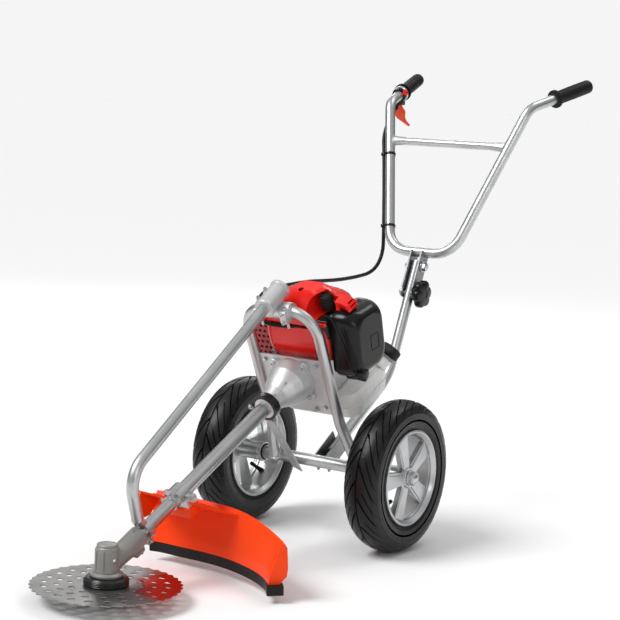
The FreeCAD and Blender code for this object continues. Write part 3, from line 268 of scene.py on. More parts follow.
def cushioned(half_x: float, half_y: float, low: float, high: float, radius: float, edge: float,
              place: np.ndarray, corner: int = 6) -> Surface:
    """A block with round corners and rounded upper and lower edges, standing along z.

    Its section pulls in by edge * (1 - sin a) while its height runs by edge * (1 - cos a) from each end.
    """
    a = np.radians(np.linspace(0, 90, 5))
    inset = np.concatenate([edge * (1 - np.sin(a)), edge * (1 - np.sin(a[::-1]))])
    height = np.concatenate([low + edge * (1 - np.cos(a)), high - edge * (1 - np.cos(a[::-1]))])
    outline = rounded(half_x - inset, half_y - inset, np.maximum(radius - inset, 0.4), corner)
    height = np.broadcast_to(height[:, None, None], outline.shape[:2] + (1,))
    return skin(np.concatenate([outline, height], -1)).at(place)


def swept(path: Any, outline: np.ndarray, across: Any, looped: bool = False) -> Surface:
    """An outline carried along a path.

    At each path point, with t the path's direction, s = across made square to t and u = t x s, an
    outline point (p, q) lies at path + p s + q u.

    Args:
        path: an array (places, 3).
        outline: an array (points, 2), or one for each place.
        across: the outline's first axis, made square to the path.
        looped: whether the path closes on itself.

    Returns:
        The closed skin.
    """
    path = np.asarray(path, float)
    ahead = np.roll(path, -1, 0) - np.roll(path, 1, 0) if looped else np.gradient(path, axis=0)
    t = unit(ahead)
    s = np.broadcast_to(np.asarray(across, float), path.shape)
    s = unit(s - np.einsum("ij,ij->i", s, t)[:, None] * t)
    u = np.cross(t, s)
    outline = np.broadcast_to(outline, (len(path),) + outline.shape[-2:])
    return skin(path[:, None] + outline[..., :1] * s[:, None] + outline[..., 1:] * u[:, None], looped)


def rounded_rod(start: Any, end: Any, radius: float, sides: int = 20) -> Surface:
    """A bar with domed ends: its radius is r sin a within r of each end."""
    start, end = np.asarray(start, float), np.asarray(end, float)
    length = float(np.linalg.norm(end - start))
    a = np.radians(np.linspace(12, 90, 6))
    dome = radius * (1 - np.cos(a)) * 0.7
    z = np.concatenate([dome, length - dome[::-1]])
    r = radius * np.concatenate([np.sin(a), np.sin(a[::-1])])
    return lathed(np.stack([r, z], -1), sides, place=aimed(start, end - start))


class Head(Enum):
    """A fastener's head on its washer: rows (radius, height, hexness), as shares of its size."""

    HEX = ((0.30, -0.05, 0), (0.74, -0.05, 0), (0.78, 0.03, 0), (0.76, 0.13, 0), (0.52, 0.14, 1),
           (0.52, 0.60, 1), (0.49, 0.68, 0.7), (0.42, 0.71, 0), (0.12, 0.71, 0))
    SOCKET = ((0.30, -0.05, 0), (0.70, -0.05, 0), (0.72, 0.10, 0), (0.52, 0.12, 0), (0.52, 0.58, 0),
              (0.47, 0.66, 0), (0.30, 0.66, 0.6), (0.27, 0.62, 1), (0.27, 0.30, 1), (0.05, 0.28, 0))
    SCREW = ((0.30, -0.05, 0), (0.52, -0.05, 0), (0.54, 0.08, 0), (0.46, 0.26, 0), (0.30, 0.36, 0),
             (0.22, 0.38, 0.5), (0.18, 0.20, 1), (0.04, 0.18, 0))


def fasteners(place: np.ndarray, *seats: tuple) -> list[Surface]:
    """Bolt heads.

    Args:
        place: the frame that they are in.
        seats: for each, where it seats, the way it stands, its width and, unless it is a hexagon,
            its head.

    Returns:
        One skin for each.
    """
    heads = []
    for at, along, size, *head in seats:
        rows = np.array((head or [Head.HEX])[0].value) * [size, size, 1]
        heads.append(lathed(rows, 24, place=aimed(at, along)).at(place))
    return heads


# ---------------------------------------------------------------- node trees
class Web:
    """A node tree that is being filled."""

    def __init__(self, tree: bpy.types.NodeTree) -> None:
        """Keeps the tree."""
        self.tree = tree

    def add(self, kind: str, values: dict[Any, Any] | None = None, **settings: Any) -> bpy.types.Node:
        """Adds a node.

        Args:
            kind: the node's type without its "ShaderNode" part.
            values: what each input takes, a socket to join or a constant.
            settings: the node's own settings, which are made before its inputs are filled.

        Returns:
            The node.
        """
        node = self.tree.nodes.new("ShaderNode" + kind)
        for name, setting in settings.items():
            setattr(node, name, setting)
        for key, value in (values or {}).items():
            if isinstance(value, Socket):
                self.tree.links.new(value, node.inputs[key])
            else:
                node.inputs[key].default_value = value
        return node

    def mix(self, factor: Any, first: Any, second: Any) -> Socket:
        """A mix of two colours."""
        return self.add("Mix", {0: factor, 6: first, 7: second}, data_type="RGBA").outputs[2]

    def math(self, how: str, first: Any, second: Any = 0.0, clamp: bool = False) -> Socket:
        """One sum or comparison."""
        return self.add("Math", {0: first, 1: second}, operation=how, use_clamp=clamp).outputs[0]

    def times(self, first: Any, second: Any, clamp: bool = False) -> Socket:
        """A product."""
        return self.math("MULTIPLY", first, second, clamp)

    def plus(self, first: Any, second: Any, clamp: bool = False) -> Socket:
        """A sum."""
        return self.math("ADD", first, second, clamp)

    def less(self, first: Any, second: Any, clamp: bool = False) -> Socket:
        """A difference."""
        return self.math("SUBTRACT", first, second, clamp)

    def weighed(self, first: Any, share: float, second: Any, rest: float) -> Socket:
        """Two values added in given shares."""
        return self.plus(self.times(first, share), self.times(second, rest))

    def ramp(self, value: Any, low: float, high: float, to_low: float = 0.0, to_high: float = 1.0) -> Socket:
        """A value carried from one range to another and held at its ends."""
        ends = {0: value, 1: low, 2: high, 3: to_low, 4: to_high}
        return self.add("MapRange", ends, interpolation_type="SMOOTHSTEP").outputs[0]

    def noise(self, vector: Any, scale: Any, detail: float = 3.0, rough: float = 0.55) -> Socket:
        """Cloudy noise."""
        values = {"Vector": vector, "Scale": scale, "Detail": detail, "Roughness": rough}
        return self.add("TexNoise", values).outputs[0]

    def cells(self, vector: Any, scale: Any, feature: str = "F1") -> Socket:
        """The distance to the middle of the nearest of many scattered cells."""
        return self.add("TexVoronoi", {"Vector": vector, "Scale": scale}, feature=feature).outputs["Distance"]

    def place(self, vector: Any, at: Triple = (0, 0, 0), turn: Triple = (0, 0, 0),
              size: Triple = (1, 1, 1)) -> Socket:
        """The coordinates moved, turned (degrees) and stretched."""
        angles = tuple(math.radians(a) for a in turn)
        values = {"Vector": vector, "Location": at, "Rotation": angles, "Scale": size}
        return self.add("Mapping", values).outputs[0]

    def height(self, vector: Any) -> Socket:
        """The coordinates' z."""
        return self.add("SeparateXYZ", {0: vector}).outputs[2]


NUMBER, HUE = "NodeSocketFloat", "NodeSocketColor"
WHITE = (1.0, 1.0, 1.0, 1.0)
Fill = Callable[[Web, Any], Socket]


def group(name: str, gives: tuple[str, str], inputs: dict[str, Any], fill: Fill) -> bpy.types.NodeTree:
    """Makes a shader group that several finishes share.

    Args:
        name: the group's name.
        gives: its output's name and kind.
        inputs: the defaults of its inputs beside Vector, numbers or colours.
        fill: adds the nodes and gives the socket that goes to the output.

    Returns:
        The group's tree.
    """
    tree = bpy.data.node_groups.new(name, "ShaderNodeTree")
    tree.interface.new_socket(name="Vector", in_out="INPUT", socket_type="NodeSocketVector")
    for label, value in inputs.items():
        kind = HUE if isinstance(value, tuple) else NUMBER
        tree.interface.new_socket(name=label, in_out="INPUT", socket_type=kind).default_value = value
    tree.interface.new_socket(name=gives[0], in_out="OUTPUT", socket_type=gives[1])
    given = tree.nodes.new("NodeGroupInput").outputs
    out = tree.nodes.new("NodeGroupOutput").inputs
    tree.links.new(fill(Web(tree), given), out[0])
    return tree


class Effects:
    """The groups for uneven colour, wear, dust, rubbed gloss and three kinds of grain."""

    def __init__(self) -> None:
        """Builds each group once."""
        mask, height = ("Mask", NUMBER), ("Height", NUMBER)
        tones = {"Colour": WHITE, "Shade": WHITE, "Scale": 12.0}
        self.trees = {"uneven": group("uneven_colour", ("Colour", HUE), tones, self.uneven),
                      "worn": group("worn_places", mask, {"Amount": 0.2}, self.worn),
                      "dusty": group("settled_dust", mask, {"Top": 0.2, "Amount": 0.3}, self.dusty),
                      "drawn": group("drawn_lines", height, {"Scale": 900.0}, self.drawn),
                      "cast": group("cast_skin", height, {"Scale": 500.0}, self.cast),
                      "moulded": group("moulded_skin", height, {"Scale": 1500.0}, self.moulded),
                      "smeared": group("smeared_gloss", mask, {}, self.smeared)}

    @staticmethod
    def uneven(web: Web, given: Any) -> Socket:
        """Two tones of one colour in soft clouds, with a finer mottle."""
        broad = web.ramp(web.noise(given["Vector"], given["Scale"], 4), 0.32, 0.7)
        fine = web.ramp(web.noise(given["Vector"], web.times(given["Scale"], 9.0), 3), 0.3, 0.75, 0.0, 0.45)
        share = web.math("MAXIMUM", web.times(broad, 0.8), fine, True)
        return web.mix(share, given["Colour"], given["Shade"])

    @staticmethod
    def worn(web: Web, given: Any) -> Socket:
        """Short scratches and rubbed spots: thin lines of a stretched noise where a broad one is high."""
        lines = web.noise(web.place(given["Vector"], turn=(31, 17, 43), size=(1, 14, 3)), 60.0, 2, 0.7)
        both = web.weighed(lines, 0.55, web.noise(given["Vector"], 15.0, 3), 0.45)
        edge = web.less(0.72, web.times(given["Amount"], 0.2))
        return web.times(web.less(both, edge), 14.0, True)

    @staticmethod
    def dusty(web: Web, given: Any) -> Socket:
        """Dust that thins out with height above the floor and gathers in clouds."""
        low = web.less(1.0, web.math("DIVIDE", web.height(given["Vector"]), given["Top"]), True)
        cloud = web.ramp(web.noise(given["Vector"], 38.0, 5, 0.65), 0.35, 0.75)
        return web.times(web.times(low, cloud), given["Amount"], True)

    @staticmethod
    def drawn(web: Web, given: Any) -> Socket:
        """Fine lines along z: noise that is stretched sixty times along it."""
        return web.noise(web.place(given["Vector"], size=(1, 1, 0.016)), given["Scale"], 3, 0.6)

    @staticmethod
    def cast(web: Web, given: Any) -> Socket:
        """Sand-cast skin: a lumpy noise with round pits."""
        lumps = web.noise(given["Vector"], given["Scale"], 4, 0.6)
        return web.weighed(lumps, 0.6, web.ramp(web.cells(given["Vector"], given["Scale"]), 0.05, 0.4), 0.4)

    @staticmethod
    def moulded(web: Web, given: Any) -> Socket:
        """The fine even grain of moulded plastic and rubber."""
        cells = web.cells(given["Vector"], given["Scale"], "SMOOTH_F1")
        return web.plus(cells, web.noise(given["Vector"], 60.0, 2))

    @staticmethod
    def smeared(web: Web, given: Any) -> Socket:
        """Patches where the gloss is rubbed or greasy, as a number from 0 to 1."""
        broad = web.ramp(web.noise(given["Vector"], 24.0, 5, 0.6), 0.3, 0.72)
        return web.weighed(broad, 0.7, web.noise(given["Vector"], 288.0, 2), 0.3)


class Grain(Enum):
    """Which group roughens a surface."""

    DRAWN = "drawn"
    CAST = "cast"
    MOULDED = "moulded"


@dataclass(frozen=True)
class Finish:
    """One finish: its tones, gloss, grain, wear and dust."""

    name: str
    colour: Triple
    shade: Triple
    rough: tuple[float, float]
    grain: Grain
    metallic: float = 0.0
    grain_scale: float = 900.0
    grain_depth: float = 0.05
    blotch: float = 12.0
    worn: float = 0.1
    worn_colour: Triple = (0.5, 0.5, 0.5)
    dust: float = 0.12
    dust_top: float = 0.3
    dust_colour: Triple = (0.30, 0.26, 0.20)
    coat: float = 0.0
    shine: float = 0.5
    lie: Triple = (0.0, 0.0, 0.0)

    def tint(self, web: Web, vector: Any, colour: Any) -> Socket:
        """The colour before wear and dust; a special finish paints on it here."""
        return colour

    def extra(self, shader: bpy.types.Node) -> None:
        """Sets what is the same all over the surface."""
        settings = {"Metallic": self.metallic, "Coat Weight": self.coat, "Coat Roughness": 0.08,
                    "Specular IOR Level": self.shine}
        for name, value in settings.items():
            shader.inputs[name].default_value = value

    def build(self, effects: Effects) -> bpy.types.Material:
        """Makes the material, on Object coordinates throughout, from the shared groups."""
        material = bpy.data.materials.new(self.name)
        material.use_nodes = True
        web = Web(material.node_tree)
        web.tree.nodes.clear()
        vector = web.add("TexCoord").outputs["Object"]

        def placed(kind: str, at: Any = vector, **values: Any) -> Socket:
            return web.add("Group", {"Vector": at, **values}, node_tree=effects.trees[kind]).outputs[0]

        colour = placed("uneven", Colour=(*self.colour, 1), Shade=(*self.shade, 1), Scale=self.blotch)
        colour = self.tint(web, vector, colour)
        worn = placed("worn", Amount=self.worn)
        colour = web.mix(worn, colour, (*self.worn_colour, 1))
        dust = placed("dusty", Top=self.dust_top, Amount=self.dust)
        colour = web.mix(dust, colour, (*self.dust_colour, 1))
        rough = web.ramp(placed("smeared"), 0.1, 0.9, *self.rough)
        rough = web.plus(rough, web.times(web.plus(worn, dust), 0.25), True)
        height = placed(self.grain.value, web.place(vector, turn=self.lie), Scale=self.grain_scale)
        height = web.less(height, web.times(worn, 0.4))
        bump = web.add("Bump", {"Height": height, "Strength": self.grain_depth, "Distance": MM}).outputs[0]
        shader = web.add("BsdfPrincipled", {"Base Color": colour, "Roughness": rough, "Normal": bump})
        self.extra(shader)
        web.add("OutputMaterial", {"Surface": shader.outputs[0]})
        return material


@dataclass(frozen=True)
class SawSteel(Finish):
    """Ground saw steel with turning rings, and a painted reflection of the orange guard over one sector."""

    centre: Triple = (0.0, -0.606, 0.0)
    # painted reflection: the orange guard's red, laid on the blade's rear sector below the guard
    guard_reflection: Triple = (0.46, 0.03, 0.02)
    reflection_from: float = 0.062
    reflection_middle: float = 35.0
    reflection_half: float = 42.0

    def tint(self, web: Web, vector: Any, colour: Any) -> Socket:
        """Rings by the distance from the spindle, and a painted reflection of the orange guard where the
        distance and the angle allow it.
        """
        apart = web.place(vector, at=tuple(-c for c in self.centre))
        flat = web.add("VectorMath", {0: apart, 1: (1, 1, 0)}, operation="MULTIPLY").outputs[0]
        reach = web.add("VectorMath", {0: flat}, operation="LENGTH").outputs["Value"]
        rings = web.ramp(web.noise(web.add("CombineXYZ", {0: reach}).outputs[0], 1400.0, 3, 0.7), 0.3, 0.7)
        colour = web.mix(web.times(rings, 0.55), colour, (0.20, 0.20, 0.20, 1))
        parts = web.add("SeparateXYZ", {0: web.place(flat, turn=(0, 0, -self.reflection_middle))}).outputs
        angle = web.math("ABSOLUTE", web.math("ARCTAN2", parts[1], parts[0]))
        ragged = web.times(web.less(web.noise(vector, 90.0, 4), 0.5), 0.16)
        inside = web.times(web.less(web.plus(angle, ragged), math.radians(self.reflection_half)), -30.0, True)
        beyond = web.less(web.plus(reach, web.times(ragged, 0.03)), self.reflection_from)
        beyond = web.times(beyond, 900.0, True)
        thin = web.ramp(web.noise(vector, 260.0, 3), 0.25, 0.45, 0.6, 1.0)
        # painted reflection of the orange guard: patchy red with ragged edges over the rear sector
        return web.mix(web.times(web.times(inside, beyond), thin), colour, (*self.guard_reflection, 1))


@dataclass(frozen=True)
class MilkyPlastic(Finish):
    """Blow-moulded plastic that light goes into, darker where the fuel stands."""

    fuel_top: float = 0.232
    fuel: Triple = (0.66, 0.62, 0.50)

    def tint(self, web: Web, vector: Any, colour: Any) -> Socket:
        """The fuel's shade below its level."""
        below = web.ramp(web.height(vector), self.fuel_top, self.fuel_top - 0.004, 0.0, 0.5)
        return web.mix(below, colour, (*self.fuel, 1))

    def extra(self, shader: bpy.types.Node) -> None:
        """Adds the light that goes in."""
        super().extra(shader)
        shader.inputs["Subsurface Weight"].default_value = 0.45
        shader.inputs["Subsurface Radius"].default_value = (1.0, 0.9, 0.7)
        shader.inputs["Subsurface Scale"].default_value = 0.012


def grey(level: float) -> Triple:
    """A colour with the three parts alike."""
    return level, level, level


FINISHES: tuple[Finish, ...] = (
    Finish("silver_tube", (0.57, 0.58, 0.585), (0.49, 0.50, 0.505), (0.32, 0.42), Grain.DRAWN, 1.0, 1100,
           0.05, worn=0.06, worn_colour=grey(0.38), dust=0.04),
    Finish("bright_metal", (0.58, 0.585, 0.59), (0.56, 0.565, 0.57), (0.27, 0.38), Grain.DRAWN, 1.0, 1300,
           0.04, worn=0.08, worn_colour=grey(0.40), dust=0.03, lie=(90 - LEAN_BY, 0, 0)),
    Finish("cast_clamp", (0.66, 0.665, 0.67), (0.56, 0.565, 0.57), (0.40, 0.54), Grain.CAST, 0.75, 520, 0.22,
           worn=0.08, worn_colour=grey(0.75), dust=0.04),
    Finish("dark_zinc", (0.30, 0.31, 0.32), (0.24, 0.25, 0.26), (0.34, 0.46), Grain.DRAWN, 0.9, 900, 0.05,
           worn=0.08, worn_colour=grey(0.42), dust=0.03),
    Finish("cast_grey", (0.30, 0.292, 0.275), (0.23, 0.225, 0.215), (0.36, 0.50), Grain.CAST, 0.3, 620, 0.22,
           worn=0.12, worn_colour=grey(0.45), dust=0.08, dust_colour=(0.33, 0.31, 0.28)),
    SawSteel("steel", (0.30, 0.295, 0.285), (0.22, 0.215, 0.21), (0.28, 0.42), Grain.MOULDED, 0.95, 1500,
             0.04, worn=0.25, worn_colour=(0.22, 0.20, 0.18), dust=0.06, dust_top=0.06),
    Finish("silencer_steel", (0.72, 0.71, 0.70), (0.58, 0.56, 0.54), (0.22, 0.36), Grain.CAST, 0.9, 700, 0.08,
           worn=0.3, worn_colour=(0.40, 0.30, 0.22)),
    Finish("red_metal", (0.40, 0.008, 0.010), (0.30, 0.006, 0.008), (0.26, 0.40), Grain.CAST, 0.0, 420, 0.06,
           worn=0.06, worn_colour=(0.45, 0.20, 0.18), dust=0.03, coat=0.25, shine=0.4),
    Finish("red_plastic", (0.86, 0.014, 0.008), (0.78, 0.010, 0.006), (0.16, 0.26), Grain.MOULDED, 0.0, 1600,
           0.04, worn=0.04, worn_colour=(0.75, 0.10, 0.08), dust=0.0, dust_top=0.02, coat=0.22, shine=0.35),
    Finish("black_plastic", (0.004, 0.004, 0.0045), (0.006, 0.006, 0.0065), (0.16, 0.26), Grain.MOULDED, 0.0,
           1300, 0.09, worn=0.08, worn_colour=grey(0.03), dust=0.01, dust_top=0.03, shine=0.28),
    Finish("black_paint", (0.006, 0.006, 0.0065), (0.010, 0.010, 0.0105), (0.18, 0.30), Grain.CAST, 0.0, 500,
           0.06, worn=0.1, worn_colour=grey(0.10), dust=0.05, dust_top=0.1),
    Finish("black_rubber", grey(0.006), grey(0.010), (0.40, 0.56), Grain.MOULDED, 0.0, 900, 0.2,
           worn=0.1, worn_colour=grey(0.03), dust=0.01, dust_top=0.05, shine=0.22),
    MilkyPlastic("tank_plastic", (0.97, 0.97, 0.94), (0.93, 0.93, 0.89), (0.26, 0.36), Grain.MOULDED, 0.0,
                 900, 0.06, worn=0.06, worn_colour=(0.80, 0.79, 0.74), dust=0.0),
    Finish("guard_orange", (0.97, 0.062, 0.003), (0.93, 0.052, 0.002), (0.28, 0.40), Grain.MOULDED, 0.0, 1200,
           0.08, worn=0.03, worn_colour=(0.90, 0.16, 0.06), dust=0.0, dust_top=0.03, shine=0.2),
    Finish("lever_orange", (0.86, 0.075, 0.014), (0.72, 0.045, 0.010), (0.24, 0.36), Grain.MOULDED, 0.0, 1400,
           0.06, worn=0.1, worn_colour=(0.85, 0.22, 0.12), coat=0.1, shine=0.4),
    Finish("tyre_rubber", (0.006, 0.006, 0.0062), (0.010, 0.010, 0.0102), (0.26, 0.40), Grain.MOULDED, 0.0,
           700, 0.2, worn=0.1, worn_colour=grey(0.02), dust=0.01, dust_top=0.06,
           dust_colour=(0.12, 0.11, 0.10), shine=0.28),
    Finish("wheel_silver", (0.55, 0.56, 0.565), (0.48, 0.49, 0.50), (0.28, 0.40), Grain.CAST, 0.9, 900, 0.05,
           worn=0.06, worn_colour=grey(0.40), dust=0.05, dust_top=0.26, coat=0.1),
)
DRESSED: dict[str, str] = {
    "silver_tube": "axle hoop_frame rear_post brace_tube handlebar crossbar",
    "bright_metal": "front_collar drive_tube guard_clamp spindle pivot_bolt",
    "cast_clamp": "engine_plate axle_strap brace_clamp clutch_housing crankcase cylinder",
    "dark_zinc": "post_bracket handle_channel",
    "cast_grey": "gear_head",
    "steel": "blade",
    "silencer_steel": "muffler",
    "red_metal": "muffler_guard",
    "red_plastic": "cylinder_cover lower_shroud",
    "black_plastic": "air_filter_base air_filter_cover recoil_starter fuel_cap clamp_knob throttle_body "
                     "cable_ties",
    # the carburettor is dressed black as painted shade for the dark recess between the cover and the filter
    "black_paint": "clutch_collar carburettor blade_flange blade_cup",
    "black_rubber": "guard_flap spark_plug_boot starter_handle throttle_cable grip_left grip_right",
    "tank_plastic": "fuel_tank",
    "guard_orange": "blade_guard",
    "lever_orange": "throttle_trigger",
    "tyre_rubber": "tyre_left tyre_right",
    "wheel_silver": "rim_left rim_right",
}


# ---------------------------------------------------------------- the workshop: makes pieces and dresses them
def into_scene(name: str, data: Any) -> bpy.types.Object:
    """Puts a mesh, curve, lamp or camera into the scene as an object at the origin."""
    made = bpy.data.objects.new(name, data)
    bpy.context.scene.collection.objects.link(made)
    return made


def smooth(mesh: bpy.types.Mesh) -> None:
    """Shades every face of a mesh smooth."""
    mesh.polygons.foreach_set("use_smooth", np.ones(len(mesh.polygons), bool))


@dataclass
class Workshop:
    """Makes each piece's mesh, gives it its finish and puts it on its body."""

    effects: Effects = field(default_factory=Effects)
    finishes: dict[str, bpy.types.Material] = field(default_factory=dict)

    def __post_init__(self) -> None:
        """Builds every finish."""
        for finish in FINISHES:
            self.finishes[finish.name] = finish.build(self.effects)

    def dress_nodes(self) -> None:
        """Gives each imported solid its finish."""
        finish_of = {name: finish for finish, names in DRESSED.items() for name in names.split()}
        for name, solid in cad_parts.items():
            material = self.finishes[finish_of[name]]
            if solid.data.materials:
                solid.data.materials[0] = material
            else:
                solid.data.materials.append(material)

    def piece(self, name: str, skins: Sequence[Surface], finish: str, body: str, replaces: Sequence[str] = (),
              sharp: float = USUAL) -> None:
        """Puts skins into one mesh object at the origin.

        Args:
            name: the piece's name.
            skins: closed skins in the row frame, in millimetres.
            finish: the finish.
            body: the body it rides on.
            replaces: the solids it stands for.
            sharp: the angle in degrees past which an edge is shown sharp.
        """
        counts = np.cumsum([0] + [len(s.points) for s in skins])
        points = np.vstack([s.points for s in skins]) * MM
        faces: list[list[int]] = []
        for start, s in zip(counts, skins):
            faces += (s.quads + start).tolist() + (s.tris + start).tolist()
        mesh = bpy.data.meshes.new(name)
        mesh.from_pydata(points.tolist(), [], faces)
        smooth(mesh)
        mesh.update()
        mesh.set_sharp_from_angle(angle=math.radians(sharp))
        mesh.materials.append(self.finishes[finish])
        made = into_scene(name, mesh)
        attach(made, body)
        if replaces:
            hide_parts(*replaces)
        LOG.info("%s: %d faces in %s", name, len(faces), finish)

    def pieces(self, body: str, *rows: tuple) -> None:
        """Makes several pieces of one body.

        Args:
            body: the body that they ride on.
            rows: for each its name, its skins, its finish and, where they matter, the solids that it
                stands for and its sharp angle.
        """
        for name, skins, finish, *rest in rows:
            self.piece(name, skins, finish, body, *rest)


# ---------------------------------------------------------------- camera, floor and light
@dataclass
class Studio:
    """A pale floor, soft lamps and the camera; the camera's and sky's measures, in metres and degrees."""

    azimuth: float = 34.19
    elevation: float = 10.8
    distance: float = 3.5247
    lens: float = 103.3
    sensor: float = 36.0
    aim_height: float = 0.4603
    aside: float = -0.0188
    nose_down: float = 4.65
    key: float = 2.1
    key_spread: float = 28.0
    sky_low: float = 0.12
    sky_high: float = 0.58
    backdrop: float = 0.915
    pale: float = 0.92
    floor_radius: float = 90.0
    lamps: tuple[tuple[str, Triple, tuple[float, float], float], ...] = (
        ("fill", (3.6, -2.0, 1.6), (0.4, 2.4), 20),
        ("top", (0.6, 1.9, 3.6), (1.2, 1.2), 18),
        ("rim", (-2.4, 3.0, 2.2), (0.4, 2.0), 16),
    )

    @staticmethod
    def stand(name: str, data: Any, pose: np.ndarray) -> bpy.types.Object:
        """Puts a lamp or camera in its place."""
        made = into_scene(name, data)
        made.matrix_world = Matrix(pose.tolist())
        return made

    def camera(self) -> None:
        """Places the camera: a level view round the axle's upright, then turned with it about the axle."""
        a, e = math.radians(self.azimuth), math.radians(self.elevation)
        back = np.array([math.sin(a) * math.cos(e), -math.cos(a) * math.cos(e), math.sin(e)])
        right = np.array([math.cos(a), math.sin(a), 0.0])
        pose = np.eye(4)
        pose[:3, 0], pose[:3, 1], pose[:3, 2] = right, np.cross(back, right), back
        pose[:3, 3] = np.array([0, 0, self.aim_height]) + right * self.aside + back * self.distance
        tip = moved(0, AXLE_Y * MM, AXLE_Z * MM) @ turned(self.nose_down) @ moved(0, 0, -AXLE_Z * MM)
        data = bpy.data.cameras.new("camera")
        data.lens, data.sensor_width = self.lens, self.sensor
        data.clip_start, data.clip_end = 0.1, 200.0
        bpy.context.scene.camera = self.stand("camera", data, tip @ pose)

    def floor(self) -> None:
        """A wide, flat, pale floor, whose far edge meets the sky."""
        edge = np.insert(circle(self.floor_radius, 96), 2, 0.0, axis=1)
        mesh = bpy.data.meshes.new("floor")
        mesh.from_pydata(edge.tolist(), [], [list(range(len(edge)))])
        material = bpy.data.materials.new("studio_floor")
        material.use_nodes = True
        shader = material.node_tree.nodes["Principled BSDF"]
        shader.inputs["Base Color"].default_value = (*grey(self.pale), 1)
        shader.inputs["Roughness"].default_value = 1.0
        shader.inputs["Specular IOR Level"].default_value = 0.0
        mesh.materials.append(material)
        floor = into_scene("floor", mesh)

    def light(self) -> None:
        """A broad sun-like key, three soft lamps that face the machine's middle, and the sky."""
        key = bpy.data.lights.new("key", "SUN")
        key.energy, key.angle = self.key, math.radians(self.key_spread)
        self.stand("key", key, aimed((0, 0, 3), (-0.45, -0.75, 1.0)))
        middle = np.array([0, -0.1, 0.45])
        for name, at, (wide, high), watts in self.lamps:
            lamp = bpy.data.lights.new(name, "AREA")
            lamp.shape, lamp.size, lamp.size_y, lamp.energy = "RECTANGLE", wide, high, watts
            self.stand(name, lamp, aimed(at, np.array(at) - middle))
        self.sky()
        bpy.context.scene.view_settings.view_transform = "Standard"

    def sky(self) -> None:
        """The world: what lights the machine brightens with height; what the camera sees is plain."""
        world = bpy.data.worlds.new("studio")
        world.use_nodes = True
        web = Web(world.node_tree)
        web.tree.nodes.clear()
        height = web.height(web.add("TexCoord").outputs["Generated"])
        lit, seen = (web.add("Background", {"Color": WHITE, "Strength": strength}).outputs[0]
                     for strength in (web.ramp(height, 0.0, 0.8, self.sky_low, self.sky_high), self.backdrop))
        direct = web.add("LightPath").outputs["Is Camera Ray"]
        web.add("OutputWorld", {"Surface": web.add("MixShader", {0: direct, 1: lit, 2: seen}).outputs[0]})
        bpy.context.scene.world = world


# ---------------------------------------------------------------- throttle cable
@dataclass
class ThrottleCable:
    """The sheathed cable from the carburettor, round the cover and up the right leg to the trigger."""

    diameter: float = 0.008
    length: float = 1.04
    on_engine: tuple[Triple, ...] = (
        (64, 22, 317), (40, 22, 317), (6, 6, 317), (-30, 3.5, 317.5), (-58, 6, 320), (-77, 20, 331),
        (-87, 42, 342), (-89, 70, 347))
    behind: tuple[Triple, ...] = (
        (-88, -60, 497.3), (-86, -15, 500.5), (-88, 60, 502.5), (-93, 128, 499.2), (-98, 195, 496.8),
        (-100.5, 262, 498.5), (-101.5, 318, 503), (-102, 352, 519), (-102, 370, 548))
    on_handle: tuple[Triple, ...] = (
        (-100.28, 0, 58), (-115.03, 1, 110), (-130.91, 1.5, 166), (-145.09, 1, 216), (-158.14, 0, 262),
        (-170, 3.4, 293.2), (-180, 19.9, 334.6), CABLE_END)

    def route(self) -> np.ndarray:
        """The cable's own points, in metres."""
        return np.vstack([put(LEAN, self.on_engine), put(ROW, self.behind), put(HANDLE, self.on_handle)]) * MM

    def make(self, shop: Workshop) -> None:
        """Carries a round sheath along a spline on those points."""
        points = self.route()
        curve = bpy.data.curves.new("cable_line", "CURVE")
        curve.dimensions = "3D"
        spline = curve.splines.new("NURBS")
        spline.points.add(len(points) - 1)
        for point, (x, y, z) in zip(spline.points, points):
            point.co = (x, y, z, 1)
        spline.order_u = 3
        spline.use_endpoint_u = True
        curve.resolution_u = 14
        line = into_scene("cable_line", curve)
        bare = bpy.data.meshes.new_from_object(line)
        curve.bevel_depth, curve.bevel_resolution, curve.use_fill_caps = self.diameter / 2, 5, True
        mesh = bpy.data.meshes.new_from_object(line)
        bpy.data.objects.remove(line)
        bpy.data.meshes.remove(bare)
        mesh.name = "cable_sheath"
        mesh.materials.clear()
        mesh.materials.append(shop.finishes["black_rubber"])
        smooth(mesh)
        sheath = into_scene("cable_sheath", mesh)
        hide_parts("throttle_cable")
        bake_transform(sheath)


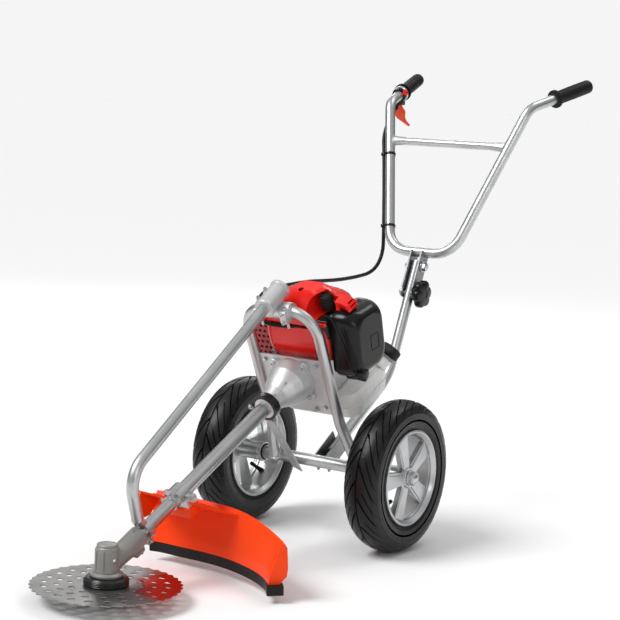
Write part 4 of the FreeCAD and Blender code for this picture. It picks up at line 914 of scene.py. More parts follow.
# ---------------------------------------------------------------- wheels
@dataclass
class Wheel:
    """A tyre with its tread, and the trim of a five-spoke rim."""

    side: int
    radius: float = AXLE_Z
    crown: float = 31.0
    drop: float = 9.0
    wall: float = 47.0
    seat_half: float = 29.5
    seat_radius: float = 88.0
    pitches: int = 15
    groove: float = 4.2
    groove_end: float = 1.35
    spokes: int = 5
    spoke_face: float = 25.0
    spoke_from: float = 20.0
    spoke_to: float = 84.5
    valve_at: float = 43.0

    @property
    def name(self) -> str:
        """Which wheel it is."""
        return "left" if self.side > 0 else "right"

    @property
    def place(self) -> np.ndarray:
        """The wheel's middle, its z axis outboard."""
        return ROW @ moved(self.side * HALF_TRACK, 0, self.radius) @ aimed((0, 0, 0), (self.side, 0, 0))

    def tyre(self) -> Surface:
        """The tyre's skin.

        The section runs over the crown, r = R - drop |u|^2.4 with x = crown u, and down each wall,
        x = crown - v + 22 v (1 - v), r = R - drop - wall v, with two raised bands. Ring i turns by its
        angle plus a shear that grows with |u|, so that the grooves sweep down from the crown in front,
        and the grooves' floors are points moved inwards by the groove's depth.
        """
        u, v = np.linspace(-1, 1, 41), np.linspace(0.05, 1, 24)
        band = 0.9 * (np.exp(-((v - 0.80) / 0.03) ** 2) + np.exp(-((v - 0.30) / 0.025) ** 2))
        wall_x = self.crown - v + 22 * v * (1 - v) + band
        wall_r = self.radius - self.drop - self.wall * v
        crown_r = self.radius - self.drop * np.abs(u) ** 2.4
        seat_x, seat = np.array([1, 0, -1]) * self.seat_half, np.zeros(3)
        x = np.concatenate([self.crown * u, wall_x, seat_x, -wall_x[::-1]])
        r = np.concatenate([crown_r, wall_r, seat + self.seat_radius, wall_r[::-1]])
        lateral = np.concatenate([u, 1 + 0.9 * v, seat, -1 - 0.9 * v[::-1]])
        shoulder = np.array([0.9, 0.7, 0.45, 0.2, 0.0])
        plain = np.zeros(len(x) - len(u) - 2 * len(shoulder))
        cut = np.concatenate([np.ones(len(u)), shoulder, plain, shoulder[::-1]])
        reach = np.abs(lateral)

        # places round one pitch of the tread: a long groove's floor, then a short one's
        share = np.array([0, 0.02, 0.10, 0.12, 0.20, 0.28, 0.36, 0.44, 0.52, 0.54, 0.585, 0.605, 0.70, 0.80,
                          0.90])
        turns = (np.arange(self.pitches)[:, None] + share).ravel() * 2 * np.pi / self.pitches
        long, short = (np.tile(np.isin(share, floor), self.pitches)[:, None]
                       for floor in ((0.02, 0.10), (0.54, 0.585)))
        sweep = 1.05 * np.minimum(reach, 1.3) ** 1.35 + 0.5 * (lateral > 0)
        shear = np.where(reach > self.groove_end, 0, sweep) * 2 * np.pi / self.pitches
        fade = np.clip((self.groove_end - reach) / 0.05, 0, 1)
        open_part = long * np.clip((reach - 0.06) / 0.06, 0, 1) + short * np.clip((reach - 0.42) / 0.08, 0, 1)
        depth = self.groove * cut * fade * open_part
        centre = self.groove * 0.8 * np.exp(-(u / 0.035) ** 4)
        depth[:, :len(u)] = np.maximum(depth[:, :len(u)], centre)
        return skin(around(r - depth, turns[:, None] + self.side * shear, x), True).at(self.place)

    def rim_trim(self) -> list[Surface]:
        """Rolled lips, a step, a raised pad on each spoke, and a ring at each end of the hub."""
        lip = circle(1.0, 12) * (2.6, 1.8)
        step = [(83.0, 26.0), (84.6, 24.0), (84.6, 18.0), (83.0, 16.0), (81.6, 18.0), (81.6, 24.0)]
        turns = lip + (91.0, 34.0), lip + (91.0, -34.0), step
        skins = [lathed(rows, 96, True, self.place) for rows in turns]
        run = np.linspace((self.spoke_from, 0, self.spoke_face), (self.spoke_to, 0, self.spoke_face), 24)
        share = (run[:, 0] - self.spoke_from) / (self.spoke_to - self.spoke_from)
        wide, rise = 8.4 + 6.0 * share + 5.5 * share ** 9, 2.1 - 1.3 * share ** 3
        pad = swept(run, rounded(wide, rise, np.minimum(wide, rise) * 0.8, 5), BACK)
        for k in range(self.spokes):
            skins.append(pad.at(self.place @ turned(180 + 90 * self.side + 360 * k / self.spokes, 2)))
        outer = [(8.6, 31.2), (18.6, 31.2), (20.0, 29.8), (20.4, 27.6), (22.4, 25.8), (25.5, 25.1),
                 (25.5, 22.0), (8.6, 22.0)]
        inner = [(13.4, -48.5), (19.6, -48.5), (20.6, -46.0), (20.6, -41.0), (19.2, -39.0), (13.4, -39.0)]
        return skins + [lathed(rows, 48, True, self.place) for rows in (outer, inner)]

    def seal(self) -> list[Surface]:
        """The dark bearing seals in each end of the hub."""
        outer = [(8.4, 27.0), (8.4, 31.3), (10.5, 31.9), (14.0, 31.8), (16.2, 31.0), (16.2, 27.0)]
        inner = [(12.9, -45.0), (12.9, -49.2), (15.0, -49.4), (17.4, -48.9), (17.6, -45.0)]
        return [lathed(rows, 48, True, self.place) for rows in (outer, inner)]

    def valve(self) -> list[Surface]:
        """The valve's rubber foot, its stem and the ribbed cap."""
        place = self.place @ turned(self.valve_at - 90 * self.side, 2) @ moved(81.0, 0, 4.0) @ turned(-58, 1)
        foot = [(1.0, -1.0), (6.0, -1.0), (5.4, 2.0), (4.2, 6.0), (3.7, 16.0), (3.2, 18.0), (1.0, 18.0)]
        cap = [(1.0, 17, 0), (3.2, 17, 1), (3.4, 18, 1), (3.4, 25, 1), (2.9, 26.4, 0.5), (1.0, 26.8, 0)]
        return [lathed(foot, 24, place=place), lobed(cap, 12, 0.5, 48, place)]

    def make(self, shop: Workshop) -> None:
        """Makes the wheel's pieces."""
        shop.pieces("wheel_" + self.name,
                    ("tread_" + self.name, [self.tyre()], "tyre_rubber", ["tyre_" + self.name], BLUNT),
                    ("rim_trim_" + self.name, self.rim_trim(), "wheel_silver"),
                    ("hub_seal_" + self.name, self.seal(), "black_rubber"),
                    ("valve_" + self.name, self.valve(), "black_rubber"))


# ---------------------------------------------------------------- frame
def round_crank(degrees: float, y: float) -> Triple:
    """A place on the circle of bolts round the crankshaft's line."""
    a = math.radians(degrees)
    return BOLT_CIRCLE * math.cos(a), y, CRANK_Z + BOLT_CIRCLE * math.sin(a)


@dataclass
class Frame:
    """The fittings of the axle, hoop, brace and engine plate."""

    hub_out: float = 31.3
    brace_fall: float = 8.0
    brace_end: Triple = (0, 17, 397)
    sleeve: float = 66.0
    seam_bolts: tuple[float, float] = (20.0, 46.0)
    leg: tuple[float, float] = (74.2, -15.4)
    leg_weld: tuple[float, float] = (138.0, 252.0)
    foot_x: float = 101.5
    foot_radius: float = 12.2
    axle_radius: float = 12.9
    ear_height: float = 9.4

    @property
    def along(self) -> np.ndarray:
        """The way the brace's upper end points."""
        return unit((0, 1, math.tan(math.radians(self.brace_fall))))

    def seam(self, z: float, x: float) -> np.ndarray:
        """A place beside the brace, z along its sleeve."""
        return np.array(self.brace_end) + (z - self.sleeve) * self.along + (x, 0, 0)

    def axle_nuts(self) -> list[Surface]:
        """A domed nut and washer on each end of the axle."""
        rows = [(10.5, 0.2, 0), (15.0, 0.2, 0), (15.2, 1.0, 0), (14.6, 2.0, 0), (12.2, 2.1, 1),
                (12.2, 9.5, 1), (11.4, 11.0, 0.6), (9.6, 12.3, 0), (7.6, 14.2, 0), (4.0, 15.6, 0),
                (0.6, 16.0, 0)]
        end = HALF_TRACK + self.hub_out
        return [lathed(rows, 48, place=ROW @ aimed((s * end, 0, AXLE_Z), (s, 0, 0))) for s in SIDES]

    def plate_bolts(self) -> list[Surface]:
        """The hexagon heads on the engine plate."""
        at = [(-58, 147), (58, 147), (-60, 244), (60, 244), (-36, 140), (36, 140)]
        return fasteners(LEAN, *(((x, PLATE_Y, z), FRONT, 8.0) for x, z in at))

    def weld_beads(self) -> list[Surface]:
        """Rippled beads where the plate meets the hoop's legs and the hoop meets the axle."""
        skins = []
        leg_x, leg_y = self.leg
        low, high = self.leg_weld
        a = np.linspace(0, 2 * np.pi, 90, endpoint=False)
        x, y = self.foot_radius * np.cos(a), self.foot_radius * np.sin(a)
        over = np.sqrt(np.maximum(self.axle_radius ** 2 - (y - 9) ** 2, 9.0))
        for s in SIDES:
            path = np.linspace((s * leg_x, leg_y, low), (s * leg_x, leg_y, high), 160)
            skins.append(swept(path, rippled(path[:, 2], 1.9, 0.45, 1.05), LEFT).at(LEAN))
            ring = np.stack([s * self.foot_x + x, -9 + y * 0.98, over], -1)
            skins.append(swept(ring, rippled(a, 1.5, 0.4, 22), UP, True).at(LEAN))
        return skins

    def clutch_fittings(self) -> list[Surface]:
        """Four ears with their bolts round the clutch housing."""
        skins = []
        ear = [(2, 0), (8.6, 0), (9, 1), (9, 8), (8, self.ear_height), (2, self.ear_height)]
        for a in (45, 135, 225, 315):
            skins.append(lathed(ear, 28, place=LEAN @ aimed(round_crank(a, PLATE_Y), FRONT)))
            skins += fasteners(LEAN, (round_crank(a, PLATE_Y - self.ear_height), FRONT, 8.0, Head.SOCKET))
        return skins

    def collar_bolts(self) -> list[Surface]:
        """Pinch bolts of the two collars on the drive tube, and of the brace's foot."""
        front = PLATE_Y - 110
        return fasteners(
            LEAN, ((-31, front, CRANK_Z), FRONT, 7.5, Head.SOCKET),
            ((0, front + 8, CRANK_Z + 26.8), UP, 6.5, Head.SOCKET), ((6, -510, CRANK_Z - 23), LEFT, 6.5),
            ((-6, -510, CRANK_Z - 23), RIGHT, 6.5, Head.SOCKET),
            ((0, -523.2, CRANK_Z + 23.5), FRONT, 7.0, Head.SOCKET), ((0, -511, CRANK_Z + 23.0), BACK, 7.0))

    def clamp_bolts(self) -> list[Surface]:
        """The bolts of the cast clamp at the hoop's top, and its studs."""
        skins = []
        front, middle = -37, -25
        for x in (-30, 30):
            skins += fasteners(LEAN, *(((x, front, z), FRONT, 6.5, Head.SOCKET) for z in (354, 372)))
            skins.append(rounded_rod((x, middle, 356), (x, middle, 334), 3.0, 16).at(LEAN))
            skins += fasteners(LEAN, ((x, middle, 350), DOWN, 8.0), ((x, middle, 376), UP, 8.0, Head.SOCKET))
        return skins

    def clamp_bands(self) -> list[Surface]:
        """The cast clamp's end bands and the ears of the bolted seam along its sleeve."""
        band = np.array([(18.2, 0), (20.2, 0.6), (20.6, 2), (20.6, 5.6), (20.2, 7), (18.2, 7.6)])
        place = LEAN @ aimed(self.seam(0, 0), self.along)
        skins = [lathed(band + (0, low), 64, True, place) for low in (0.5, 57.5)]
        for s in SIDES:
            for z in self.seam_bolts:
                ear = LEAN @ aimed(self.seam(z, -19.5), RIGHT) @ moved(0, s * 4.6, 0)
                skins.append(cushioned(6.0, 3.4, -4.0, 5.0, 2.6, 1.4, ear, 5))
        return skins

    def band_bolts(self) -> list[Surface]:
        """The small bolts through the clamp's seam ears."""
        up = np.cross(LEFT, self.along)
        skins = []
        for middle in (self.seam(z, -22.0) for z in self.seam_bolts):
            skins += fasteners(LEAN, (middle + 8.0 * up, up, 6.5, Head.SOCKET), (middle - 8.0 * up, -up, 6.5))
        return skins

    def brace_plug(self) -> list[Surface]:
        """The plug in the brace's upper end."""
        rows = [(2, -6), (9.2, -6), (9.2, 0), (10.8, 0.2), (10.6, 2.0), (8.6, 3.4), (2, 3.8)]
        return [lathed(rows, 32, place=LEAN @ aimed(self.brace_end, self.along))]

    def make(self, shop: Workshop) -> None:
        """Makes the frame's pieces."""
        shop.pieces("chassis",
                    ("axle_nuts", self.axle_nuts(), "bright_metal", (), CRISP),
                    ("plate_bolts", self.plate_bolts(), "bright_metal", (), CRISP),
                    ("weld_beads", self.weld_beads(), "cast_clamp"),
                    ("clutch_fittings", self.clutch_fittings(), "cast_clamp", (), CRISP),
                    ("collar_bolts", self.collar_bolts(), "bright_metal", (), CRISP),
                    ("clamp_bolts", self.clamp_bolts(), "bright_metal", (), CRISP),
                    ("clamp_bands", self.clamp_bands(), "cast_clamp"),
                    ("band_bolts", self.band_bolts(), "bright_metal", (), CRISP),
                    ("brace_plug", self.brace_plug(), "cast_clamp"))


# ---------------------------------------------------------------- cutter
@dataclass
class Cutter:
    """The gear head's machined parts, the blade's fixings and the guard's mouldings."""

    clamp_y: float = -408.0
    foot_y: float = -545.0
    ribs: tuple[float, ...] = (-96.0, -52.0, 52.0)
    rib_ends: tuple[float, float] = (196.0, 270.0)
    roof_front: float = 176.0
    roof_top: float = 115.0
    roof_fall: float = 50 / 110

    def head_details(self) -> list[Surface]:
        """The head's bearing cap, its ribs and the joint flanges."""
        cap = [(2, 98), (17.6, 98), (18.4, 99), (18.4, 101), (17.0, 102.6), (12, 103.4), (11, 102.4),
               (2, 102.4)]
        rib = swept(np.linspace((20.6, 0, 58), (20.6, 0, 92), 8), bar(1.6, 1.9, 1.2), LEFT)
        ring = [(20.4, 54.0), (22.8, 54.6), (23.2, 56.0), (22.8, 57.6), (20.4, 58.2), (19.6, 56.0)]
        skirt = [(25.0, 47.1), (28.6, 47.1), (29.0, 48.2), (29.0, 50.4), (27.6, 51.6), (25.0, 51.6)]
        return [lathed(cap, 48, place=HEAD), *(rib.at(HEAD @ turned(a + 22, 2)) for a in range(0, 360, 45)),
                lathed(ring, 48, True, HEAD), lathed(skirt, 64, True, HEAD)]

    def head_screws(self) -> list[Surface]:
        """The grease screw and the head's pinch bolts."""
        grease = fasteners(HEAD, ((20.6, -4, 76), (1, -0.15, 0), 8.5, Head.SCREW))
        return grease + fasteners(
            LEAN, ((9.2, self.foot_y, CRANK_Z - 22), LEFT, 6.5, Head.SOCKET),
            ((-9.2, self.foot_y, CRANK_Z - 22), RIGHT, 6.5),
            ((0, self.foot_y + 5, CRANK_Z + 19), UP, 6.0, Head.SOCKET))

    def cup_rings(self) -> list[Surface]:
        """Ridges round the cup over the blade."""
        ridge = circle(1.0, 8) * (1.3, 0.8)
        return [lathed(ridge + (38.4, z), 96, True, HEAD) for z in (33.5, 36.6, 39.7)]

    def guard_ribs(self) -> list[Surface]:
        """The stiffening beads across the guard's roof and beside its clamp."""
        start, end = ((0, y, self.roof_top - (y - self.roof_front) * self.roof_fall) for y in self.rib_ends)
        rib = swept(np.linspace(start, end, 16), bar(2.2, 1.7, 1.4), LEFT)
        return [rib.at(GUARD @ moved(x, 0, 0)) for x in self.ribs]

    def clamp_bolts(self) -> list[Surface]:
        """The two bolts that draw the guard's clamp together, with their nuts below."""
        ends = (2.3, UP), (-26.8, DOWN)
        seats = [((x, self.clamp_y, CRANK_Z + z), way, 8.5) for x in (-24, 24) for z, way in ends]
        return fasteners(LEAN, *seats)

    def clamp_seat(self) -> list[Surface]:
        """The guard's raised seat that holds the clamp's lower half."""
        place = LEAN @ moved(0, self.clamp_y - 1.0, 0)
        return [cushioned(33.5, 16.0, CRANK_Z - 34, CRANK_Z - 12, 5.0, 4.0, place)]

    def make(self, shop: Workshop) -> None:
        """Makes the cutter's pieces."""
        shop.pieces("chassis",
                    ("clamp_seat", self.clamp_seat(), "guard_orange"),
                    ("head_details", self.head_details(), "cast_grey"),
                    ("head_screws", self.head_screws(), "bright_metal", (), CRISP))
        shop.pieces("blade_rotor", ("cup_rings", self.cup_rings(), "black_paint"))
        shop.pieces("chassis",
                    ("guard_ribs", self.guard_ribs(), "guard_orange"),
                    ("guard_clamp_bolts", self.clamp_bolts(), "bright_metal", (), CRISP))


# ---------------------------------------------------------------- engine
@dataclass
class Engine:
    """The covers' mouldings, filter ribs, filler cap, tank seam, starter vents and plug cap."""

    filter_face: float = 148.0
    cap_foot: Triple = (88, 148, 149)
    cap_along: Triple = (0.42, 0.74, 0.53)
    seam_z: float = 317.0
    plug: Triple = (76, 42, 355)
    tank: Triple = (6, 98, 122)
    starter_face: float = 146.3
    bevel: Triple = (117, 0, 62)
    bevel_by: float = 26.0

    def filler(self, out: float) -> np.ndarray:
        """A frame on the filler neck's line, some way out from its foot."""
        along = unit(self.cap_along)
        return LEAN @ aimed(np.array(self.cap_foot) + along * out, along)

    def cap(self) -> list[Surface]:
        """The knurled filler cap: thirty lobes round a domed disc."""
        rows = [(14, 0, 0), (20.4, 0, 0), (20.8, 1.0, 1), (20.8, 15.5, 1), (20.0, 18.2, 0.8),
                (18.0, 20.2, 0.2), (13.0, 21.4, 0), (11.6, 20.6, 0), (1.0, 20.9, 0)]
        return [lobed(rows, 30, 1.2, 360, self.filler(26.3), 0.6)]

    def cap_ring(self) -> list[Surface]:
        """The grey ring under the cap's skirt."""
        rows = [(16.2, 0), (19.6, 0.2), (20.4, 1.6), (20.0, 4.6), (16.2, 5.0)]
        return [lathed(rows, 64, True, self.filler(20.5))]

    def filter_ribs(self) -> list[Surface]:
        """Three ribs down the filter cover's front corner, and the flange over them.

        Each is a quadratic curve from (x, z) at the cover's top through a bend to its foot, laid on
        the front, whose depth y falls from 57 to 39 as x nears the cover's face.
        """
        skins = []
        t = np.linspace(0, 1, 40)
        size = np.clip(np.minimum(t, 1 - t) * 14, 0.25, 1)
        for corners in (((99, 57), (116, 28), (134, -52)), ((115, 42), (128, 10), (139, -50)),
                        ((120, 44), (134, 10), (144, -46))):
            x, z = bent(*corners, 40).T
            depth = np.interp(x, (96, 125, 143, self.filter_face), (57, 56, 49, 39)) + 0.2
            outline = size[:, None, None] * bar(1.9, 1.9, 1.4)
            skins.append(swept(np.stack([x, -depth, z], -1), outline, LEFT).at(FILTER))
        flange = [(80, -56.5, 61.5), (90, -56.8, 61.8), (99, -57, 57.5)]
        return skins + [swept(flange, bar(1.8, 1.8, 1.3), UP).at(FILTER)]

    def filter_pads(self) -> list[Surface]:
        """Two flat pads on the cover's upper bevel, a slot between them, and a blank square frame."""
        skins = []
        for low, high in ((-46, -14), (-3, 26)):
            place = FILTER @ moved(*self.bevel) @ moved(0, (low + high) / 2, 0) @ turned(self.bevel_by, 1)
            skins.append(cushioned(11.0, (high - low) / 2, 0, 4.6, 2.5, 1.2, place))
        path = laid(bar(13, 15, 3, 6), 0, (self.filter_face + 0.2, 10, -8))
        return skins + [swept(path, bar(0.8, 0.9, 0.5), LEFT, True).at(FILTER)]

    def latch(self) -> list[Surface]:
        """The filter's turning latch: a disc with six lobes."""
        rows = [(3, -4, 0), (11.5, -4, 0.6), (12.6, -2.5, 1), (12.6, 5.0, 1), (11.0, 7.0, 0.6), (5, 8.2, 0),
                (1, 8.2, 0)]
        return [lobed(rows, 6, 2.2, 96, FILTER @ aimed((self.filter_face - 9, -30, -62), LEFT))]

    def tank_seam(self) -> list[Surface]:
        """The flash line round the tank, a little proud of its widest section."""
        path = laid(bar(93.4, 70.4, 30.4, 14), 2, self.tank)
        return [swept(path, bar(1.1, 1.3, 0.6), UP, True).at(LEAN)]

    def starter_vents(self) -> list[Surface]:
        """Radial bars on the recoil housing's end, its ring and its boss."""
        place = LEAN @ aimed((0, self.starter_face, CRANK_Z), BACK)
        ray = swept(np.linspace((14, 0, 0.4), (34, 0, 0.4), 6), bar(1.9, 1.5, 1.0), BACK)
        ring = [(33, -0.4), (37, -0.6), (37.4, 0.8), (36.4, 2.0), (33.6, 2.0), (32.6, 0.8)]
        boss = [(2, -0.5), (13, -0.5), (13, 2.2), (11.4, 3.4), (2, 3.8)]
        return [*(ray.at(place @ turned(a, 2)) for a in range(0, 360, 18)), lathed(ring, 72, True, place),
                lathed(boss, 36, place=place)]

    def screws(self) -> list[Surface]:
        """Screws of the shroud and the starter."""
        shroud = (((x, 11.5, 252), (0, -1, 0.05), 9.0, Head.SOCKET) for x in (-50, 76))
        starter = ((round_crank(a, 140.5), BACK, 7.0, Head.SOCKET) for a in (40, 140, 220, 320))
        return fasteners(LEAN, *shroud, *starter)

    def boot_ribs(self) -> list[Surface]:
        """The plug cap's two grip rings, which follow its rounded outline, and its domed face."""
        x, face, z = self.plug
        skins = [swept(laid(bar(12.2, 17.2, 4.2, 8), 1, (x, y, z)), circle(1.3, 8), BACK, True).at(LEAN)
                 for y in (46.5, 52.0)]
        return skins + [cushioned(9.6, 14.6, -3.0, 3.4, 4.0, 2.6, LEAN @ moved(x, face, z) @ turned(90))]

    def seam_shadow(self) -> list[Surface]:
        """A dark strip of painted shade for the shadowed gap in the seam between the covers, round the front,
        right side and back.
        """
        outline = np.roll(bar(70.0, 39.0, 16.0, 12) + (12, 55), -12, axis=0)
        path = laid(outline[outline[:, 0] < 58], 2, (0, 0, self.seam_z))
        return [swept(path, bar(2.0, 4.9, 1.2), (1, 1, 0)).at(LEAN)]

    def cable_fitting(self) -> list[Surface]:
        """The cable's ferrule and adjuster where it leaves the carburettor."""
        rows = [(2, -1, 0), (6.2, -1, 1), (6.2, 4, 1), (5.0, 4.4, 0), (5.0, 9, 0), (4.6, 12, 0), (2, 12, 0)]
        return [lathed(rows, 24, place=LEAN @ aimed((64.4, 22, self.seam_z), RIGHT))]

    def make(self, shop: Workshop) -> None:
        """Makes the engine's pieces."""
        shop.pieces("chassis",
                    ("filler_cap", self.cap(), "black_plastic", ["fuel_cap"], CURVED),
                    ("filler_ring", self.cap_ring(), "cast_grey"),
                    ("filter_ribs", self.filter_ribs(), "black_plastic"),
                    ("filter_pads", self.filter_pads(), "black_plastic"),
                    ("filter_latch", self.latch(), "black_plastic"),
                    ("tank_seam", self.tank_seam(), "tank_plastic"),
                    ("starter_vents", self.starter_vents(), "black_plastic"),
                    ("cover_screws", self.screws(), "bright_metal", (), CRISP),
                    ("plug_cap_ribs", self.boot_ribs(), "black_rubber"),
                    # painted shade: a dark strip where the gap between the covers lies in shadow
                    ("cover_seam_shadow", self.seam_shadow(), "black_rubber"),
                    ("cable_ferrule", self.cable_fitting(), "bright_metal", (), CRISP))


# ---------------------------------------------------------------- handle
@dataclass
class Handle:
    """Grips, knob, trigger and its housing, tie heads and the channel's fixings."""

    arm_end: Triple = (218, 156, 497.6)
    arm_corner: Triple = (174, 0, 374)
    grip_length: float = 118.0
    grip_radius: float = 14.6
    dome: float = 0.06
    leg_low: float = 77.0
    bend_z: float = 32.0
    knob_drop: float = 60.0
    ties: tuple[float, float] = (84.0, 250.0)
    crossbar_z: float = 283.6
    leg_radius: float = 11.0
    channel: float = 14.3

    def arm(self, side: int) -> tuple[np.ndarray, np.ndarray]:
        """An arm's end and the direction back along it."""
        end, corner = np.array(self.arm_end) * [side, 1, 1], np.array(self.arm_corner) * [side, 1, 1]
        return end, unit(corner - end)

    def beyond(self, out: float, upright: bool = False) -> np.ndarray:
        """A frame on the right arm, some way past the grip.

        Args:
            out: how far past the grip's inner end.
            upright: whether its z axis is plumb, or runs along the arm.

        Returns:
            The 4x4.
        """
        end, back = self.arm(-1)
        at = end + back * (self.grip_length + out)
        return HANDLE @ (moved(*at) @ turned(HANDLE_BY) if upright else aimed(at, back))

    def grip(self, side: int) -> Surface:
        """A rubber grip: its radius swells, is cut by ring grooves and domed at its end, with a flange."""
        s = np.linspace(0, 1, 150)
        along = -4 + s * (self.grip_length + 4)
        grooves = 0.55 * (np.sin(along * 2 * np.pi / 4.2) > 0.2) * (s > 0.14) * (s < 0.88)
        radius = self.grip_radius + 0.7 * np.sin(np.pi * s) - 0.5 * s - grooves
        domed = np.sqrt(np.clip(1 - ((self.dome - s) / 0.062) ** 2, 0.02, 1))
        radius = np.where(s < self.dome, radius * domed, radius)
        flange = np.array([(19.4, -5.5), (20.0, -4.5), (20.0, -1), (19.2, 0), (11.0, 0)])
        rows = np.vstack([np.stack([radius, along], -1)[:-6], flange + (0, self.grip_length)])
        return lathed(rows, 56, place=HANDLE @ aimed(*self.arm(side)))

    def knob(self) -> list[Surface]:
        """The star knob: six wide lobes on a domed disc, with its boss."""
        rows = [(3, 0, 0), (11.6, 0, 0), (12, 1, 0), (12, 5.4, 0), (19.4, 6.3, 0.6), (23.2, 7.8, 0.92),
                (24.4, 10, 1), (24.4, 19.4, 1), (23.0, 22, 0.92), (18.8, 23.6, 0.5), (9.4, 24.2, 0),
                (8.6, 23.0, 0), (1, 23.0, 0)]
        place = HANDLE @ aimed((self.channel + 0.3, 0, -self.knob_drop), LEFT)
        return [lobed(rows, 6, 5.6, 144, place, 0.75)]

    def knob_bolt(self) -> list[Surface]:
        """The knob's bolt through the channel, with its head on the far side."""
        head, tip = (-self.channel - 1, 0, -self.knob_drop), (self.channel + 2, 0, -self.knob_drop)
        return [*fasteners(HANDLE, ((-self.channel, 0, -self.knob_drop), RIGHT, 13.0)),
                rounded_rod(head, tip, 4.0).at(HANDLE)]

    def pivot_heads(self) -> list[Surface]:
        """The fold bolt's head and nut."""
        return fasteners(HANDLE, *(((s * self.channel, 0, 0), (s, 0, 0), 15.4) for s in SIDES))

    def band(self) -> list[Surface]:
        """The clamp band of the trigger housing."""
        rows = [(14.0, -6), (17.2, -6), (17.8, -4.6), (17.8, 4.6), (17.2, 6), (14.0, 6)]
        return [lathed(rows, 48, True, self.beyond(13))]

    def stop_button(self) -> list[Surface]:
        """The red stop button on the housing's side."""
        rows = [(1, -2), (7.0, -2), (7.0, 5.0), (6.2, 6.6), (3.6, 7.4), (1, 7.6)]
        return [lathed(rows, 32, place=self.beyond(13, True) @ aimed((12, -4, 3), (1, -0.5, 0.1)))]

    def trigger(self) -> list[Surface]:
        """The lever: a wedge whose tail curves back.

        Its middle runs along a quadratic curve in the plane across the housing; half its width is
        3 + 10 exp(-((t - 0.45) / 0.24)^2).
        """
        t = np.linspace(0, 1, 36)
        closing = np.sqrt(np.clip(1 - np.abs(2 * t - 1) ** 24, 0.02, 1))
        wide = (3 + 10 * np.exp(-((t - 0.45) / 0.24) ** 2)) * closing
        thick = (5.2 - 2.4 * t) * closing
        path = bent((0, 1, -12), (0, -9, -50), (0, 27, -71), 36)
        lever = swept(path, rounded(thick, wide, np.minimum(wide, thick) * 0.7, 4), LEFT)
        return [lever.at(self.beyond(13.3, True) @ turned(-35, 2))]

    def housing(self) -> list[Surface]:
        """The trigger's housing: a collar round the arm with a rounded pod under it."""
        collar = [(11.1, 0), (14.6, 0), (16.0, 1.2), (16.4, 4), (16.4, 22), (16.0, 24.8), (14.6, 26),
                  (11.1, 26)]
        return [lathed(collar, 48, True, self.beyond(0.3)),
                cushioned(8.5, 12.0, -25.0, -9.0, 5.0, 3.0, self.beyond(13.3, True))]

    def cable_guide(self) -> list[Surface]:
        """The bent tube that leads the cable into the housing, with its ferrule and adjuster.

        Its line is a quadratic curve from the cable's end, along the cable, into the housing's pod.
        """
        first, bend = np.array(CABLE_END), np.array([-190.9, 51.1, 374.0])
        path = bent(first, bend, (-189.7, 56.4, 397.0), 16)
        ferrule = [(2, -6), (5.0, -6), (5.4, -5), (5.4, 4), (5.0, 5), (4.2, 5.4), (4.2, 9), (2, 9)]
        adjuster = [(2, 0), (5.6, 0), (6.0, 0.6), (6.0, 3.6), (5.6, 4.2), (4.4, 4.2), (4.4, 9), (2, 9)]
        return [swept(path, circle(3.0, 14), LEFT).at(HANDLE),
                lathed(ferrule, 24, True, HANDLE @ aimed(first, bend - first)),
                lathed(adjuster, 6, True, HANDLE @ aimed(path[9], path[10] - path[8]))]

    def leg_x(self, z: Any) -> Any:
        """Half the distance between the legs at a height up the handle."""
        corner_x, _, corner_z = self.arm_corner
        return self.leg_low + (z - self.bend_z) / (corner_z - self.bend_z) * (corner_x - self.leg_low)

    def tie_heads(self) -> list[Surface]:
        """The square lock and cut tail of each cable tie."""
        skins = []
        for z in self.ties:
            x = -self.leg_x(z) - 8
            skins.append(cushioned(3.0, 2.4, 0, 4.6, 0.8, 0.6, HANDLE @ moved(x, 12.6, z) @ turned(-90), 3))
            skins.append(rounded_rod((x + 1.5, 14, z), (x - 7.5, 14.4, z + 0.4), 1.0, 8).at(HANDLE))
        return skins

    def weld_rings(self) -> list[Surface]:
        """Welds round the crossbar's pressed ends: an ellipse laid on each leg's round side.

        At a turn a the bead lies at height 12.8 sin a and depth y = 5.4 cos a, and x is the leg's
        middle less the leg's radius times sqrt(1 - (y / radius)^2).
        """
        a = np.linspace(0, 2 * np.pi, 72, endpoint=False)
        y, z = 5.4 * np.cos(a), self.crossbar_z + 12.8 * np.sin(a)
        x = self.leg_x(z) - 1.04 * np.sqrt(self.leg_radius ** 2 - y ** 2)
        bead = rippled(a, 1.3, 0.35, 17)
        return [swept(np.stack([s * x, y, z], -1), bead, LEFT, True).at(HANDLE) for s in SIDES]

    def make(self, shop: Workshop) -> None:
        """Makes the handle's pieces."""
        shop.pieces("handle",
                    ("ribbed_grip_left", [self.grip(1)], "black_rubber", ["grip_left"], CURVED),
                    ("ribbed_grip_right", [self.grip(-1)], "black_rubber", ["grip_right"], CURVED))
        shop.pieces("chassis",
                    ("star_knob", self.knob(), "black_plastic", ["clamp_knob"], CURVED),
                    ("knob_bolt", self.knob_bolt(), "bright_metal", (), CRISP))
        shop.pieces("handle",
                    ("pivot_heads", self.pivot_heads(), "bright_metal", (), CRISP),
                    ("trigger_band", self.band(), "bright_metal"),
                    ("stop_button", self.stop_button(), "red_plastic"),
                    ("trigger_housing", self.housing(), "black_plastic", ["throttle_body"]),
                    ("cable_guide", self.cable_guide(), "black_plastic", (), CRISP),
                    ("throttle_lever", self.trigger(), "lever_orange", ["throttle_trigger"]),
                    ("tie_heads", self.tie_heads(), "black_plastic"),
                    ("handle_welds", self.weld_rings(), "silver_tube"))


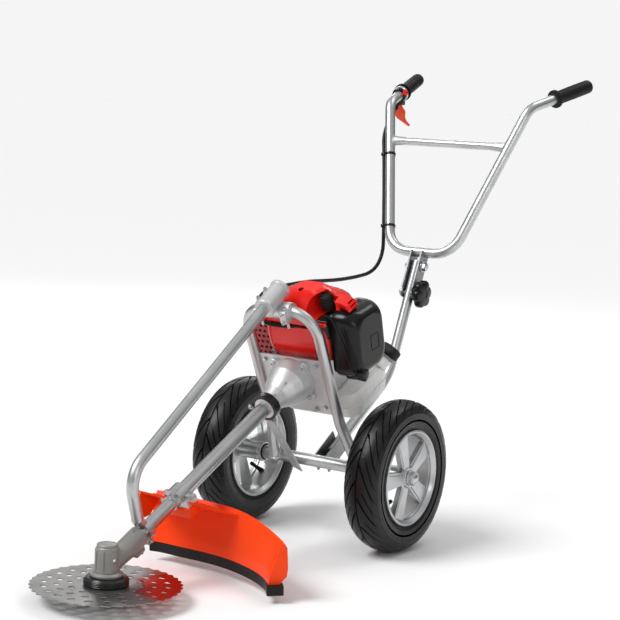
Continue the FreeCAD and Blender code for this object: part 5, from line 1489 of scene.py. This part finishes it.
def main() -> None:
    """Builds the studio, the cable and each sub-assembly in turn."""
    logging.basicConfig(level=logging.INFO, format="%(name)s %(message)s")
    studio = Studio()
    studio.camera()
    shop = Workshop()
    ThrottleCable().make(shop)
    studio.floor()
    studio.light()
    shop.dress_nodes()
    for side in (1, -1):
        Wheel(side).make(shop)
    for part in (Frame(), Cutter(), Engine(), Handle()):
        part.make(shop)


if __name__ == "__main__":
    main()
